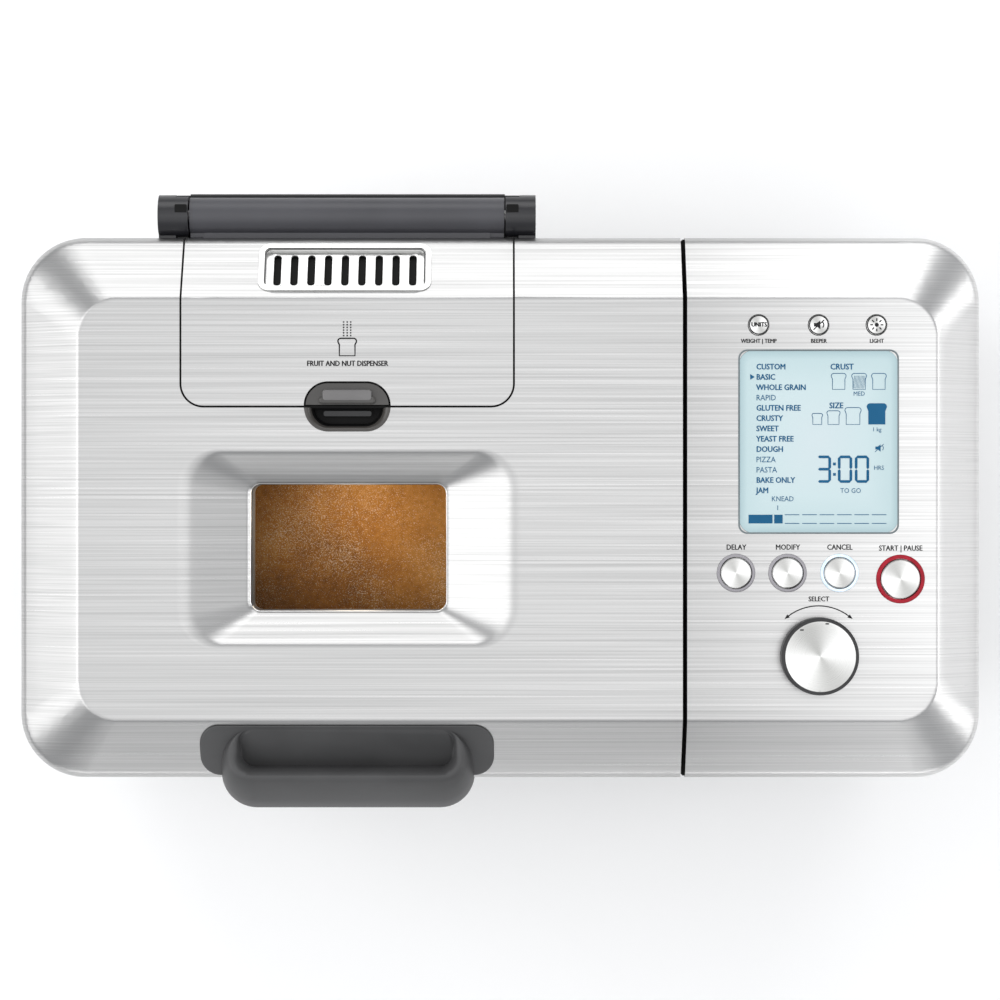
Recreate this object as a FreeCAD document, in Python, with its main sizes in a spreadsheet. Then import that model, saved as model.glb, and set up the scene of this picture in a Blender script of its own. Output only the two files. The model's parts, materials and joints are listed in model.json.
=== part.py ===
"""Horizontal-loaf bread machine: steel housing, hinged lid with a window and a separate dispenser lid,
control panel, oven chamber, lift-out pan with a folding kneading blade, and the belt drive below it.

Frame: +X to the right of someone at the front, +Y to the back, +Z up, millimetres. The origin is on the
worktop, below the middle of the machine's overall box.
"""
import FreeCAD, Part
import Sketcher
import math
import os
import re

from FreeCAD import Placement, Rotation, Vector

# Driving dimensions: alias, value in millimetres (or degrees, or a count), what it is.
SIZES = [
    ("body_width", 413.0, "rim of the top, side to side"),
    ("body_depth", 232.6, "rim of the top, front to back"),
    ("total_height", 345.0, "worktop to the flat of the top"),
    ("hinge_reach", 19.8, "hinge behind the rim"),
    ("handle_reach", 13.3, "handle in front of the rim"),
    ("corner_round", 27.5, "plan radius of the rim's corners"),
    ("flat_round", 17.0, "plan radius of the raised flat's corners"),
    ("bevel_left", 26.9, "run of the sloping border, left"),
    ("bevel_right", 20.6, "run of the sloping border, right"),
    ("bevel_front", 25.6, "run of the sloping border, front"),
    ("bevel_rear", 27.2, "run of the sloping border, rear"),
    ("bevel_drop", 18.0, "fall of the sloping border"),
    ("skirt_height", 15.0, "upright edge under the rim"),
    ("rim_round", 7.0, "radius where border meets edge"),
    ("crease_round", 3.0, "radius where flat meets border"),
    ("skin", 1.0, "steel sheet"),
    ("seam_place", 78.65, "middle of the gap between lid and panel"),
    ("seam_gap", 1.9, "gap between lid and panel"),
    ("working_gap", 0.3, "clearance between pieces that move past each other"),
    ("fit_gap", 0.1, "clearance between pieces that are fitted and stay"),
    ("pin_gap", 0.05, "radial clearance of a running pin"),
    # window
    ("window_middle_x", -64.4, "window and chamber middle, from the machine's middle"),
    ("window_middle_y", -17.1, "window middle, from the middle of the rim"),
    ("window_width", 83.9, "glass seen, side to side"),
    ("window_depth", 54.0, "glass seen, front to back"),
    ("window_round", 3.5, "corner radius of the glass seen"),
    ("well_run_x", 28.2, "run of the well's side walls"),
    ("well_run_y", 13.8, "run of the well's front and rear walls"),
    ("well_round", 13.0, "corner radius of the well"),
    ("well_depth", 12.0, "glass below the flat"),
    ("glass_thick", 3.0, "window glass"),
    ("glass_lap", 4.0, "glass behind the sheet"),
    # dispenser lid
    ("dispenser_left", -135.4, "left edge of the dispenser lid"),
    ("dispenser_width", 140.9, "width of the dispenser lid"),
    ("dispenser_run", 72.9, "rim to the dispenser lid's front edge"),
    ("dispenser_round", 9.3, "its front corners"),
    ("dispenser_gap", 0.85, "gap round it"),
    ("fold_depth", 8.0, "its turned-down edge"),
    ("vent_width", 74.0, "vent frame"),
    ("vent_depth", 25.4, "vent frame, along the slope"),
    ("vent_border", 2.6, "frame round the slotted floor"),
    ("vent_round", 5.0, "vent frame's corners"),
    ("vent_proud", 0.7, "frame above the slope"),
    ("slot_count", 9, "vent slots"),
    ("slot_pitch", 7.25, "vent slots"),
    ("slot_width", 3.1, "vent slots"),
    ("slot_length", 16.2, "vent slots, along the slope"),
    ("latch_width", 37.0, "finger latch, whole oval"),
    ("latch_depth", 20.6, "finger latch, whole oval"),
    ("latch_grip", 24.0, "lip of the tab"),
    ("latch_rise", 2.4, "tab above the flat"),
    ("cup_depth", 7.0, "finger cup"),
    # hinge
    ("axis_back", 9.9, "hinge axis behind the rim"),
    ("axis_drop", 9.0, "hinge axis below the rim"),
    ("barrel_radius", 8.0, "middle barrel"),
    ("cap_radius", 9.1, "end caps"),
    ("cap_clear", 0.5, "room between the caps and the trough under them"),
    ("trough_thick", 2.8, "floor of the bracket's trough"),
    ("cap_width", 13.4, "end caps"),
    ("hinge_pin_radius", 2.5, "hinge pin"),
    ("ear_thick", 4.6, "bracket's ears"),
    # lid inside
    ("liner_thick", 2.0, "lid liner"),
    ("liner_lift", 2.0, "liner above the skirt's edge"),
    ("seal_width", 6.0, "lid seal"),
    ("box_wall", 1.5, "dispenser box"),
    ("box_depth_y", 44.0, "dispenser box, front to back"),
    ("box_height", 18.0, "dispenser box"),
    ("flap_pin_radius", 1.2, "flap pin"),
    ("flap_set_in", 4.0, "flap pin, inside the chamber's rear wall"),
    ("flap_reach", 6.0, "flap pin, past the box"),
    ("crank_room", 4.2, "liner's slot for the crank, to each side of the flap pin"),
    ("crank_reach", 7.0, "flap crank"),
    # handle
    ("handle_width", 125.7, "handle flange"),
    ("handle_lip_width", 114.2, "handle lip"),
    ("handle_plate", 3.0, "handle flange thickness"),
    ("handle_wall", 3.5, "handle lip wall"),
    ("handle_rise", 9.0, "lip above the flange"),
    # housing
    ("housing_inset", 2.5, "housing inside the rim"),
    ("foot_height", 6.0, "rubber feet"),
    ("foot_radius", 11.0, "rubber feet"),
    ("foot_span_x", 330.0, "foot to foot"),
    ("foot_span_y", 164.0, "foot to foot"),
    ("base_height", 34.0, "base tray's outer wall"),
    ("base_wall", 3.0, "base tray"),
    ("lip_height", 6.0, "tray lip inside the housing"),
    ("deck_thick", 6.0, "top deck"),
    ("chassis_level", 46.0, "underside of the chassis plate"),
    ("chassis_thick", 2.0, "chassis plate"),
    # chamber and pan
    ("chamber_length", 224.0, "oven chamber inside"),
    ("chamber_width", 164.0, "oven chamber inside"),
    ("chamber_round", 24.0, "oven chamber corners"),
    ("chamber_floor", 84.0, "underside of the chamber's floor"),
    ("flange_width", 8.0, "chamber flange"),
    ("pan_length", 196.0, "bread pan at the rim"),
    ("pan_width", 128.0, "bread pan at the rim"),
    ("pan_height", 138.0, "bread pan"),
    ("pan_draft", 8.0, "pan narrower at the bottom, each side"),
    ("pan_round", 24.0, "pan corners at the rim"),
    ("pan_wall", 1.5, "pan wall"),
    ("pan_lift_off", 15.0, "pan floor above the chamber floor"),
    ("pan_rim", 3.0, "rolled rim"),
    ("bail_radius", 2.2, "pan handle wire"),
    ("bail_reach", 72.0, "pan handle arms"),
    ("element_radius", 3.2, "heating element tube"),
    # drive
    ("spindle_radius", 5.0, "drive spindle"),
    ("shaft_radius", 4.0, "pan shaft"),
    ("large_pulley_radius", 45.0, "driven pulley"),
    ("small_pulley_radius", 9.0, "motor pulley"),
    ("pulley_level", 20.0, "underside of the pulleys"),
    ("pulley_thick", 12.0, "pulleys"),
    ("belt_thick", 2.2, "drive belt"),
    ("belt_width", 9.0, "drive belt"),
    ("motor_place", 140.0, "motor axis, right of the middle"),
    ("motor_radius", 36.0, "motor"),
    ("motor_height", 72.0, "motor"),
    ("blade_reach", 50.0, "kneading blade from the shaft's axis"),
    ("blade_thick", 4.0, "kneading blade"),
    # panel
    ("panel_middle", 135.4, "middle of the control column"),
    ("display_width", 67.5, "display lens"),
    ("display_height", 77.6, "display lens"),
    ("display_round", 6.0, "display lens corners"),
    ("display_place", 28.05, "display middle, from the middle of the rim"),
    ("lens_thick", 2.2, "display lens"),
    ("small_button_radius", 4.3, "top row"),
    ("button_radius", 6.6, "middle row caps"),
    ("ring_width", 1.5, "ring round a cap"),
    ("start_radius", 8.4, "start cap"),
    ("start_ring_width", 1.9, "ring round the start cap"),
    ("button_rise", 1.2, "cap above the panel"),
    ("ring_rise", 0.9, "ring above the panel"),
    ("dial_radius", 16.4, "dial"),
    ("dial_rise", 9.0, "dial above the panel"),
    ("dial_place", -62.95, "dial middle, from the middle of the rim"),
    ("board_drop", 18.0, "control board below the flat"),
    ("board_thick", 1.6, "circuit boards"),
    ("carrier_thick", 2.5, "panel carrier"),
]

# Places worked out from the sizes; each may use the ones above it.
PLACES = {
    "middle_y": "(handle_reach - hinge_reach) / 2",
    "side": "body_width / 2",
    "rim_front": "middle_y - body_depth / 2",
    "rim_rear": "middle_y + body_depth / 2",
    "rim_level": "total_height - bevel_drop",
    "skirt_low": "rim_level - skirt_height",
    "flat_left": "-side + bevel_left",
    "flat_right": "side - bevel_right",
    "flat_front": "rim_front + bevel_front",
    "flat_rear": "rim_rear - bevel_rear",
    "lid_right": "seam_place - seam_gap / 2",
    "panel_left": "seam_place + seam_gap / 2",
    "window_y": "middle_y + window_middle_y",
    "dispenser_right": "dispenser_left + dispenser_width",
    "dispenser_middle": "dispenser_left + dispenser_width / 2",
    "dispenser_front": "rim_rear - dispenser_run",
    "axis_y": "rim_rear + axis_back",
    "axis_z": "rim_level - axis_drop",
    "deck_top": "skirt_low - 2 * skin",
    "deck_low": "deck_top - deck_thick",
    "liner_low": "skirt_low + liner_lift",
    "liner_top": "liner_low + liner_thick",
    "housing_side": "side - housing_inset",
    "housing_front": "rim_front + housing_inset",
    "housing_rear": "rim_rear - housing_inset",
    "housing_round": "corner_round - housing_inset",
    "base_top": "foot_height + base_height",
    "chassis_top": "chassis_level + chassis_thick",
    "chamber_x": "window_middle_x",
    "chamber_left": "chamber_x - chamber_length / 2",
    "chamber_right": "chamber_x + chamber_length / 2",
    "chamber_front": "middle_y - chamber_width / 2",
    "chamber_rear": "middle_y + chamber_width / 2",
    "floor_top": "chamber_floor + skin",
    "pan_floor": "floor_top + pan_lift_off",
    "pan_top": "pan_floor + pan_height",
    "bail_level": "pan_top - 10",
    "box_left": "dispenser_left + 6",
    "box_right": "dispenser_right - 6",
    "box_front": "dispenser_front + 6.3",
    "box_rear": "box_front + box_depth_y",
    "box_top": "liner_top + box_height",
    "flap_y": "chamber_rear - flap_set_in",
    "flap_z": "liner_low + flap_pin_radius",
    "display_y": "middle_y + display_place",
    "dial_y": "middle_y + dial_place",
    "board_top": "total_height - board_drop",
    "carrier_top": "total_height - skin - fit_gap",
}

# Label of the button, place from the column's middle, place from the middle of the rim, cap radius.
SMALL_BUTTONS = [
    ("units_button", -25.5, 77.65),
    ("beeper_button", 0.0, 77.65),
    ("light_button", 24.6, 77.65),
]
LARGE_BUTTONS = [
    ("delay_start_button", -35.1, -27.75),
    ("modify_button", -13.2, -27.75),
    ("cancel_button", 8.9, -27.75),
]
START_BUTTON = ("start_pause_button", 34.8, -30.35)

doc = FreeCAD.newDocument("bread_machine")
sheet = doc.addObject("Spreadsheet::Sheet", "Sizes")
for row, (alias, value, note) in enumerate(SIZES, 1):
    sheet.set(f"A{row}", note)
    sheet.set(f"B{row}", str(value))
    sheet.setAlias(f"B{row}", alias)
doc.recompute()

ALIASES = {alias for alias, _, _ in SIZES}
NODES = {}


def formula(text):
    """An expression on the sheet's cells, from one that uses bare names of sizes and places."""

    def swap(match):
        word = match.group(0)
        if word in PLACES:
            return "(" + formula(PLACES[word]) + ")"
        return "Sizes." + word if word in ALIASES else word

    return re.sub(r"[a-z][a-z_]*[a-z]", swap, str(text))


def number(text):
    """The value of such an expression."""
    found = sheet.evalExpression(formula(text))
    return float(getattr(found, "Value", found))


# ---- sketches -------------------------------------------------------------------------------------


def new_body(label):
    body = doc.addObject("PartDesign::Body", "Body")
    body.Label = label
    return body


def new_sketch(body, plane="XY", level="0", across="0", up="0"):
    """A sketch on one of the body's origin planes, moved along its normal by level."""
    sketch = body.newObject("Sketcher::SketchObject", "Sketch")
    base = next(o for o in body.Origin.OriginFeatures if o.Role == plane + "_Plane")
    sketch.AttachmentSupport = [(base, "")]
    sketch.MapMode = "FlatFace"
    for axis, text in zip("xyz", (across, up, level)):
        if text != "0":
            sketch.setExpression(f"AttachmentOffset.Base.{axis}", formula(text))
    return sketch


def dimension(sketch, constraint, name, text):
    index = sketch.addConstraint(constraint)
    sketch.renameConstraint(index, name)
    sketch.setExpression("Constraints." + name, formula(text))


def add_polygon(sketch, corners):
    """A closed outline of straight sides, each corner held at its own place."""
    first = sketch.GeometryCount
    places = [(number(x), number(y)) for x, y in corners]
    for k, (x, y) in enumerate(places):
        nx, ny = places[(k + 1) % len(places)]
        sketch.addGeometry(Part.LineSegment(Vector(x, y, 0), Vector(nx, ny, 0)), False)
    for k, (x, y) in enumerate(corners):
        side = first + k
        sketch.addConstraint(Sketcher.Constraint("Coincident", side, 2, first + (k + 1) % len(corners),
                                                 1))
        px, py = places[k]
        dimension(sketch, Sketcher.Constraint("DistanceX", -1, 1, side, 1, px), f"x{side}", x)
        dimension(sketch, Sketcher.Constraint("DistanceY", -1, 1, side, 1, py), f"y{side}", y)
    return sketch


def add_box(sketch, left, right, low, high):
    return add_polygon(sketch, [(left, low), (right, low), (right, high), (left, high)])


def add_circle(sketch, x, y, radius):
    px, py, r = number(x), number(y), number(radius)
    k = sketch.addGeometry(Part.Circle(Vector(px, py, 0), Vector(0, 0, 1), r), False)
    dimension(sketch, Sketcher.Constraint("Radius", k, r), f"r{k}", radius)
    dimension(sketch, Sketcher.Constraint("DistanceX", -1, 1, k, 3, px), f"x{k}", x)
    dimension(sketch, Sketcher.Constraint("DistanceY", -1, 1, k, 3, py), f"y{k}", y)
    return sketch


def add_rounded(sketch, left, right, low, high, radius):
    """A rectangle with round corners: four sides and four arcs, tangent to each other."""
    a, b, c, d, r = (number(t) for t in (left, right, low, high, radius))
    n = sketch.GeometryCount
    sides = [((a + r, c), (b - r, c)), ((b, c + r), (b, d - r)), ((b - r, d), (a + r, d)),
             ((a, d - r), (a, c + r))]
    centres = [(b - r, c + r), (b - r, d - r), (a + r, d - r), (a + r, c + r)]
    for k in range(4):
        (x, y), (nx, ny) = sides[k]
        sketch.addGeometry(Part.LineSegment(Vector(x, y, 0), Vector(nx, ny, 0)), False)
        circle = Part.Circle(Vector(*centres[k], 0), Vector(0, 0, 1), r)
        start = math.radians(270 + 90 * k)
        sketch.addGeometry(Part.ArcOfCircle(circle, start, start + math.pi / 2), False)
    rule = Sketcher.Constraint
    for k in range(4):
        line, arc, following = n + 2 * k, n + 2 * k + 1, n + (2 * k + 2) % 8
        sketch.addConstraint(rule("Tangent", line, 2, arc, 1))
        sketch.addConstraint(rule("Tangent", arc, 2, following, 1))
        sketch.addConstraint(rule("Vertical" if k % 2 else "Horizontal", line))
        if k:
            sketch.addConstraint(rule("Equal", n + 1, arc))
    dimension(sketch, rule("Radius", n + 1, r), f"radius{n}", radius)
    dimension(sketch, rule("DistanceY", -1, 1, n, 1, c), f"low{n}", low)
    dimension(sketch, rule("DistanceX", -1, 1, n + 2, 1, b), f"right{n}", right)
    dimension(sketch, rule("DistanceY", -1, 1, n + 4, 1, d), f"high{n}", high)
    dimension(sketch, rule("DistanceX", -1, 1, n + 6, 1, a), f"left{n}", left)
    return sketch


# ---- features -------------------------------------------------------------------------------------


def check_change(body, before, grows):
    doc.recompute()
    after = body.Shape.Volume
    if (after > before + 1e-3) != grows or abs(after - before) < 1e-3:
        raise RuntimeError(f"{body.Label}: a feature changed nothing, {before:.1f} to {after:.1f}")


def volume_of(body):
    doc.recompute()
    return 0.0 if body.Shape.isNull() else body.Shape.Volume


def pad(body, sketch, length, reverse=False, middle=False):
    before = volume_of(body)
    feature = body.newObject("PartDesign::Pad", "Pad")
    feature.Profile = sketch
    feature.setExpression("Length", formula(length))
    feature.Reversed = reverse
    feature.Midplane = middle
    check_change(body, before, True)
    return feature


def pocket(body, sketch, length, reverse=False):
    """Cuts against the sketch's normal, or along it when reversed."""
    before = volume_of(body)
    feature = body.newObject("PartDesign::Pocket", "Pocket")
    feature.Profile = sketch
    feature.setExpression("Length", formula(length))
    feature.Reversed = reverse
    check_change(body, before, False)
    return feature


def loft(body, sketches, kind="AdditiveLoft"):
    before = volume_of(body)
    feature = body.newObject("PartDesign::" + kind, "Loft")
    feature.Profile = sketches[0]
    feature.Sections = sketches[1:]
    feature.Ruled = True
    check_change(body, before, kind == "AdditiveLoft")
    return feature


def revolve(body, sketch, kind="Revolution"):
    """Turns the sketch about its own vertical axis."""
    before = volume_of(body)
    feature = body.newObject("PartDesign::" + kind, kind)
    feature.Profile = sketch
    feature.ReferenceAxis = (sketch, ["V_Axis"])
    feature.Angle = 360.0
    check_change(body, before, kind == "Revolution")
    return feature


def flat_edge(level, left=-1e4, right=1e4, front=-1e4, rear=1e4):
    """Picks edges that lie flat at a level, inside a plan window."""
    z = number(level)

    def pick(edge):
        b = edge.BoundBox
        flat = abs(b.ZMin - z) < 0.01 and abs(b.ZMax - z) < 0.01
        return flat and b.XMin > left and b.XMax < right and b.YMin > front and b.YMax < rear

    return pick


def soften(body, radius, pick, kind="Fillet"):
    """A fillet, or a chamfer, on the edges that pick chooses."""
    before = volume_of(body)
    tip = body.Tip
    names = [f"Edge{k}" for k, edge in enumerate(body.Shape.Edges, 1) if pick(edge)]
    if not names:
        raise RuntimeError(f"{body.Label}: no edge to soften")
    feature = body.newObject("PartDesign::" + kind, kind)
    feature.Base = (tip, names)
    feature.setExpression("Radius" if kind == "Fillet" else "Size", formula(radius))
    doc.recompute()
    if abs(body.Shape.Volume - before) < 1e-4 or not body.Shape.isValid():
        raise RuntimeError(f"{body.Label}: {kind} failed")
    return feature


def box_tool(left, right, front, rear, low, high):
    """A Part box between two corners."""
    tool = doc.addObject("Part::Box", "Block")
    spans = (("x", left, right, "Length"), ("y", front, rear, "Width"), ("z", low, high, "Height"))
    for axis, start, end, size in spans:
        tool.setExpression(f"Placement.Base.{axis}", formula(start))
        tool.setExpression(size, formula(f"({end}) - ({start})"))
    return tool


def rod_tool(x, y, z, radius, length, along="z"):
    """A Part cylinder from a point along one of the axes."""
    tool = doc.addObject("Part::Cylinder", "Rod")
    turns = {"z": Rotation(), "x": Rotation(Vector(0, 1, 0), 90), "y": Rotation(Vector(1, 0, 0), -90)}
    tool.Placement = Placement(Vector(), turns[along])
    for axis, text in zip("xyz", (x, y, z)):
        tool.setExpression(f"Placement.Base.{axis}", formula(text))
    tool.setExpression("Radius", formula(radius))
    tool.setExpression("Height", formula(length))
    return tool


def fuse(*pieces):
    made = doc.addObject("Part::MultiFuse", "Fuse")
    made.Shapes = list(pieces)
    made.Refine = True
    doc.recompute()
    return made


def cut(base, *tools):
    """Base less the tools, one after another, each of which has to bite."""
    for tool in tools:
        made = doc.addObject("Part::Cut", "Cut")
        made.Base = base
        made.Tool = tool
        made.Refine = True
        doc.recompute()
        if base.Shape.Volume - made.Shape.Volume < 1e-3:
            raise RuntimeError(f"a cut took nothing from {base.Label}")
        base = made
    return base


def common(first, second):
    made = doc.addObject("Part::Common", "Common")
    made.Base = first
    made.Tool = second
    made.Refine = True
    doc.recompute()
    return made


def group(pieces):
    """Separate solids kept together as one object."""
    if len(pieces) == 1:
        return pieces[0]
    made = doc.addObject("Part::Compound", "Group")
    made.Links = list(pieces)
    return made


def node(label, piece):
    """Names a finished sub-part."""
    piece.Label = label
    NODES[label] = piece
    return piece


def turned(label, x, y, profile):
    """A body turned about an upright axis; its profile is a list of radius and level."""
    body = new_body(label)
    sketch = new_sketch(body, "XZ", level=f"-({y})", across=x)
    revolve(body, add_polygon(sketch, profile))
    return body


def prism(label, left, right, front, rear, low, high, radius=None):
    """A body with an upright outline, its corners round if a radius is given."""
    body = new_body(label)
    sketch = new_sketch(body, level=low)
    if radius is None:
        add_box(sketch, left, right, front, rear)
    else:
        add_rounded(sketch, left, right, front, rear, radius)
    pad(body, sketch, f"({high}) - ({low})")
    return body


# ---- the pressed top: one form, cut into lid, dispenser lid and panel --------------------------------


def top_form(label, inset="0", lift="0"):
    """The crowned top as a solid, inset to make its hollow, or lifted as a whole."""
    body = new_body(label)
    edge = f"{inset} + 0"
    low = new_sketch(body, level=f"skirt_low - 2 * ({edge})")
    rim = ("-side + " + edge, f"side - ({edge})", "rim_front + " + edge, f"rim_rear - ({edge})")
    add_rounded(low, *rim, f"corner_round - ({edge})")
    rim_at = f"rim_level - ({edge}) / 2"
    pad(body, low, f"({rim_at}) - (skirt_low - 2 * ({edge}))")
    rim_sketch = new_sketch(body, level=rim_at)
    add_rounded(rim_sketch, *rim, f"corner_round - ({edge})")
    flat_sketch = new_sketch(body, level=f"total_height - ({edge})")
    half = f"({edge}) / 2"
    flat = ("flat_left + " + half, f"flat_right - {half}", "flat_front + " + half, f"flat_rear - {half}")
    add_rounded(flat_sketch, *flat, f"flat_round - {half}")
    loft(body, [rim_sketch, flat_sketch])
    soften(body, f"rim_round - ({edge})", flat_edge(rim_at))
    soften(body, f"crease_round - ({edge})", flat_edge(f"total_height - ({edge})"))
    if lift != "0":
        body.setExpression("Placement.Base.z", formula(lift))
        doc.recompute()
    return body


def window_outline(sketch, grow_x="0", grow_y="0", radius="window_round"):
    half_x, half_y = f"(window_width / 2 + {grow_x})", f"(window_depth / 2 + {grow_y})"
    sides = ("window_middle_x - " + half_x, "window_middle_x + " + half_x)
    return add_rounded(sketch, *sides, "window_y - " + half_y, "window_y + " + half_y, radius)


def window_well(label, grow="0"):
    """The sloping well round the glass, grown and lowered by the sheet for its underside."""
    body = new_body(label)
    top = window_outline(new_sketch(body, level=f"total_height - {grow}"), f"well_run_x + {grow}",
                         f"well_run_y + {grow}", f"well_round + {grow}")
    low = window_outline(new_sketch(body, level=f"total_height - well_depth - {grow}"), grow, grow,
                         f"window_round + {grow}")
    loft(body, [top, low])
    return body


def window_prism(label, low, high, grow="0", hole=None):
    body = new_body(label)
    radius = f"window_round + {grow}"
    sketch = window_outline(new_sketch(body, level=low), grow, grow, radius)
    if hole is not None:
        window_outline(sketch, hole, hole, f"window_round + {hole}")
    pad(body, sketch, f"({high}) - ({low})")
    return body


def dispenser_block(label, grow, low="skirt_low - 10", high="total_height + 10"):
    """Upright block over the dispenser lid, open to the rear, its two front corners round."""
    sides = (f"dispenser_left - {grow}", f"dispenser_right + {grow}")
    ends = (f"dispenser_front - {grow}", "rim_rear + 40")
    return prism(label, *sides, *ends, low, high, f"dispenser_round + {grow}")


def latch_oval(label, inset, low, high):
    """The whole oval of the finger latch, which the seam cuts in two."""
    body = new_body(label)
    sketch = new_sketch(body, level=low)
    half_x, half_y = f"(latch_width / 2 - {inset})", f"(latch_depth / 2 - {inset})"
    add_rounded(sketch, "dispenser_middle - " + half_x, "dispenser_middle + " + half_x,
                "dispenser_front - " + half_y, "dispenser_front + " + half_y, f"{half_y} - 0.01")
    pad(body, sketch, f"({high}) - ({low})")
    return body


outer_form = top_form("outer_form")
inner_form = top_form("inner_form", "skin")
BEYOND = 60.0
ABOVE, BELOW = f"total_height + {BEYOND}", f"skirt_low - {BEYOND}"
FRONT, REAR = f"rim_front - {BEYOND}", f"rim_rear + {BEYOND}"
LEFT, RIGHT = f"-side - {BEYOND}", f"side + {BEYOND}"


def sheet_between(left, right, hollow):
    """The pressed sheet between two planes, with an upright wall of the same sheet at the seam."""
    outside = common(outer_form, box_tool(left, right, FRONT, REAR, BELOW, ABOVE))
    seam_left = f"({left}) + skin" if left != LEFT else LEFT
    seam_right = f"({right}) - skin" if right != RIGHT else RIGHT
    inside = common(hollow, box_tool(seam_left, seam_right, FRONT, REAR, BELOW, ABOVE))
    return cut(outside, inside)


# main lid
well_void = window_well("well_void")
well_casing = window_well("well_casing", "skin")
lid_hollow = cut(inner_form, well_casing)
lid_sheet = sheet_between(LEFT, "lid_right", lid_hollow)
glass_top = "total_height - well_depth - skin"
cup_hole = common(latch_oval("cup_hole", "0", "total_height - 2 * skin", ABOVE),
                  box_tool(LEFT, RIGHT, FRONT, "dispenser_front", BELOW, ABOVE))
lid_skin = cut(lid_sheet, well_void, window_prism("window_hole", f"{glass_top} - 1", "total_height"),
               dispenser_block("dispenser_notch", "dispenser_gap"), cup_hole)
node("lid_skin", lid_skin)

node("window_glass", window_prism("window_glass", f"{glass_top} - glass_thick", glass_top, "glass_lap"))
node("window_gasket", window_prism("window_gasket", "liner_top", f"{glass_top} - glass_thick",
                                   "glass_lap", "0"))

LINER_REAR = "(axis_y - sqrt((axis_back + skin)^2 + (axis_z - skirt_low)^2) - 1)"
liner = prism("lid_liner_plate", "-side + skin + fit_gap", "lid_right - skin - fit_gap",
              "rim_front + skin + fit_gap", LINER_REAR, "liner_low", "liner_top",
              "corner_round - skin - fit_gap")
liner_window = window_prism("liner_window", "liner_low - 1", "liner_top + 1")
liner_box = box_tool("box_left - fit_gap", "box_right + fit_gap", "box_front - fit_gap",
                     "box_rear + fit_gap",
                     "liner_low - 1", "liner_top + 1")
crank_slot = box_tool("box_right", "box_right + flap_reach + working_gap", "flap_y - crank_room",
                      "flap_y + crank_room", "liner_low - 1", "liner_top + 1")
node("lid_liner", cut(liner, liner_window, liner_box, crank_slot))

seal = new_body("lid_seal")
seal_sketch = new_sketch(seal, level="deck_top + skin + working_gap")
for grow in ("seal_width + 1", "1"):
    add_rounded(seal_sketch, f"chamber_left - {grow}", f"chamber_right + {grow}",
                f"chamber_front - {grow}",
                f"chamber_rear + {grow}", f"chamber_round + {grow}")
pad(seal, seal_sketch, "liner_low - (deck_top + skin + working_gap)")
node("lid_seal", seal)

# dispenser box, its trap door and the magnet that pulls it
box = cut(box_tool("box_left", "box_right", "box_front", "box_rear", "liner_low", "box_top"),
          box_tool("box_left + box_wall", "box_right - box_wall", "box_front + box_wall",
                   "box_rear - box_wall", "liner_low + box_wall", "box_top + 1"),
          box_tool("box_left + box_wall", "box_right - box_wall", "box_front + box_wall",
                   "flap_y + flap_pin_radius + working_gap", "liner_low - 1", "liner_low + box_wall + 1"),
          rod_tool("box_left - 1", "flap_y", "flap_z", "flap_pin_radius + pin_gap",
                   "box_right - box_left + 2", "x"))
node("dispenser_box", box)

flap_side = "box_wall + working_gap"
flap_plate = box_tool(f"box_left + {flap_side}", f"box_right - ({flap_side})",
                      f"box_front + {flap_side}", "flap_y", "liner_low", "liner_low + box_wall")
flap_pin = rod_tool("box_left", "flap_y", "flap_z", "flap_pin_radius",
                    "box_right - box_left + flap_reach", "x")
crank_left = "box_right + 2"
crank = box_tool(crank_left, f"{crank_left} + 2", "flap_y - 1.6", "flap_y + 1.6", "flap_z - 1",
                 "flap_z + crank_reach")
crank_peg = rod_tool(crank_left, "flap_y", "flap_z + crank_reach", "1.6", "6", "x")
node("dispenser_flap", fuse(flap_plate, flap_pin, crank, crank_peg))

pull_x = "(box_right + 6)"
pull_z = "(flap_z + crank_reach)"
fork_slot = box_tool(f"{pull_x} - 3", f"{pull_x} + 3", "flap_y - 2.5", "flap_y + 2.5", f"{pull_z} - 6",
                     f"{pull_z} + 2.2")
fork = box_tool(f"{pull_x} - 1.4", f"{pull_x} + 1.6", "flap_y - 6", "flap_y + 5.5", f"{pull_z} - 4",
                f"{pull_z} + 4")
plunger_rod = rod_tool(f"{pull_x} + 0.1", "flap_y - 34", pull_z, "1.4", "29", "y")
node("solenoid_plunger", fuse(cut(fork, fork_slot), plunger_rod))
coil = box_tool("dispenser_right + 1 - 6", "dispenser_right + 12", "flap_y - 42", "flap_y - 16",
                "liner_top",
                f"{pull_z} + 7")
coil_hole = rod_tool(f"{pull_x} + 0.1", "flap_y - 41", pull_z, "1.4 + pin_gap", "26", "y")
node("solenoid_coil", cut(coil, coil_hole))

# finger cup in the lid, in front of the seam
cup_solid = common(latch_oval("cup_outside", "fit_gap", "total_height - cup_depth", "total_height"),
                   box_tool(LEFT, RIGHT, FRONT, "dispenser_front - dispenser_gap", BELOW, ABOVE))
cup_inside = common(latch_oval("cup_inside", "1.3", "total_height - cup_depth + 1.2", ABOVE),
                    box_tool(LEFT, RIGHT, FRONT, "dispenser_front - dispenser_gap - 1.3", BELOW, ABOVE))
node("latch_cup", cut(cup_solid, cup_inside))

# dispenser lid: the same sheet, with its edge turned down
lower_form = top_form("lower_form", lift="-fold_depth")
fold_solid = common(cut(outer_form, lower_form), dispenser_block("dispenser_edge", "0"))
rear_wall = common(cut(outer_form, inner_form), dispenser_block("dispenser_sheet", "0"))
fold = cut(fold_solid, dispenser_block("dispenser_inside", "-skin"))
lever_hole = latch_oval("lever_hole", "0", "total_height - 2 * fold_depth", ABOVE)
dispenser_sheet = cut(fuse(rear_wall, fold), lever_hole)


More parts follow.
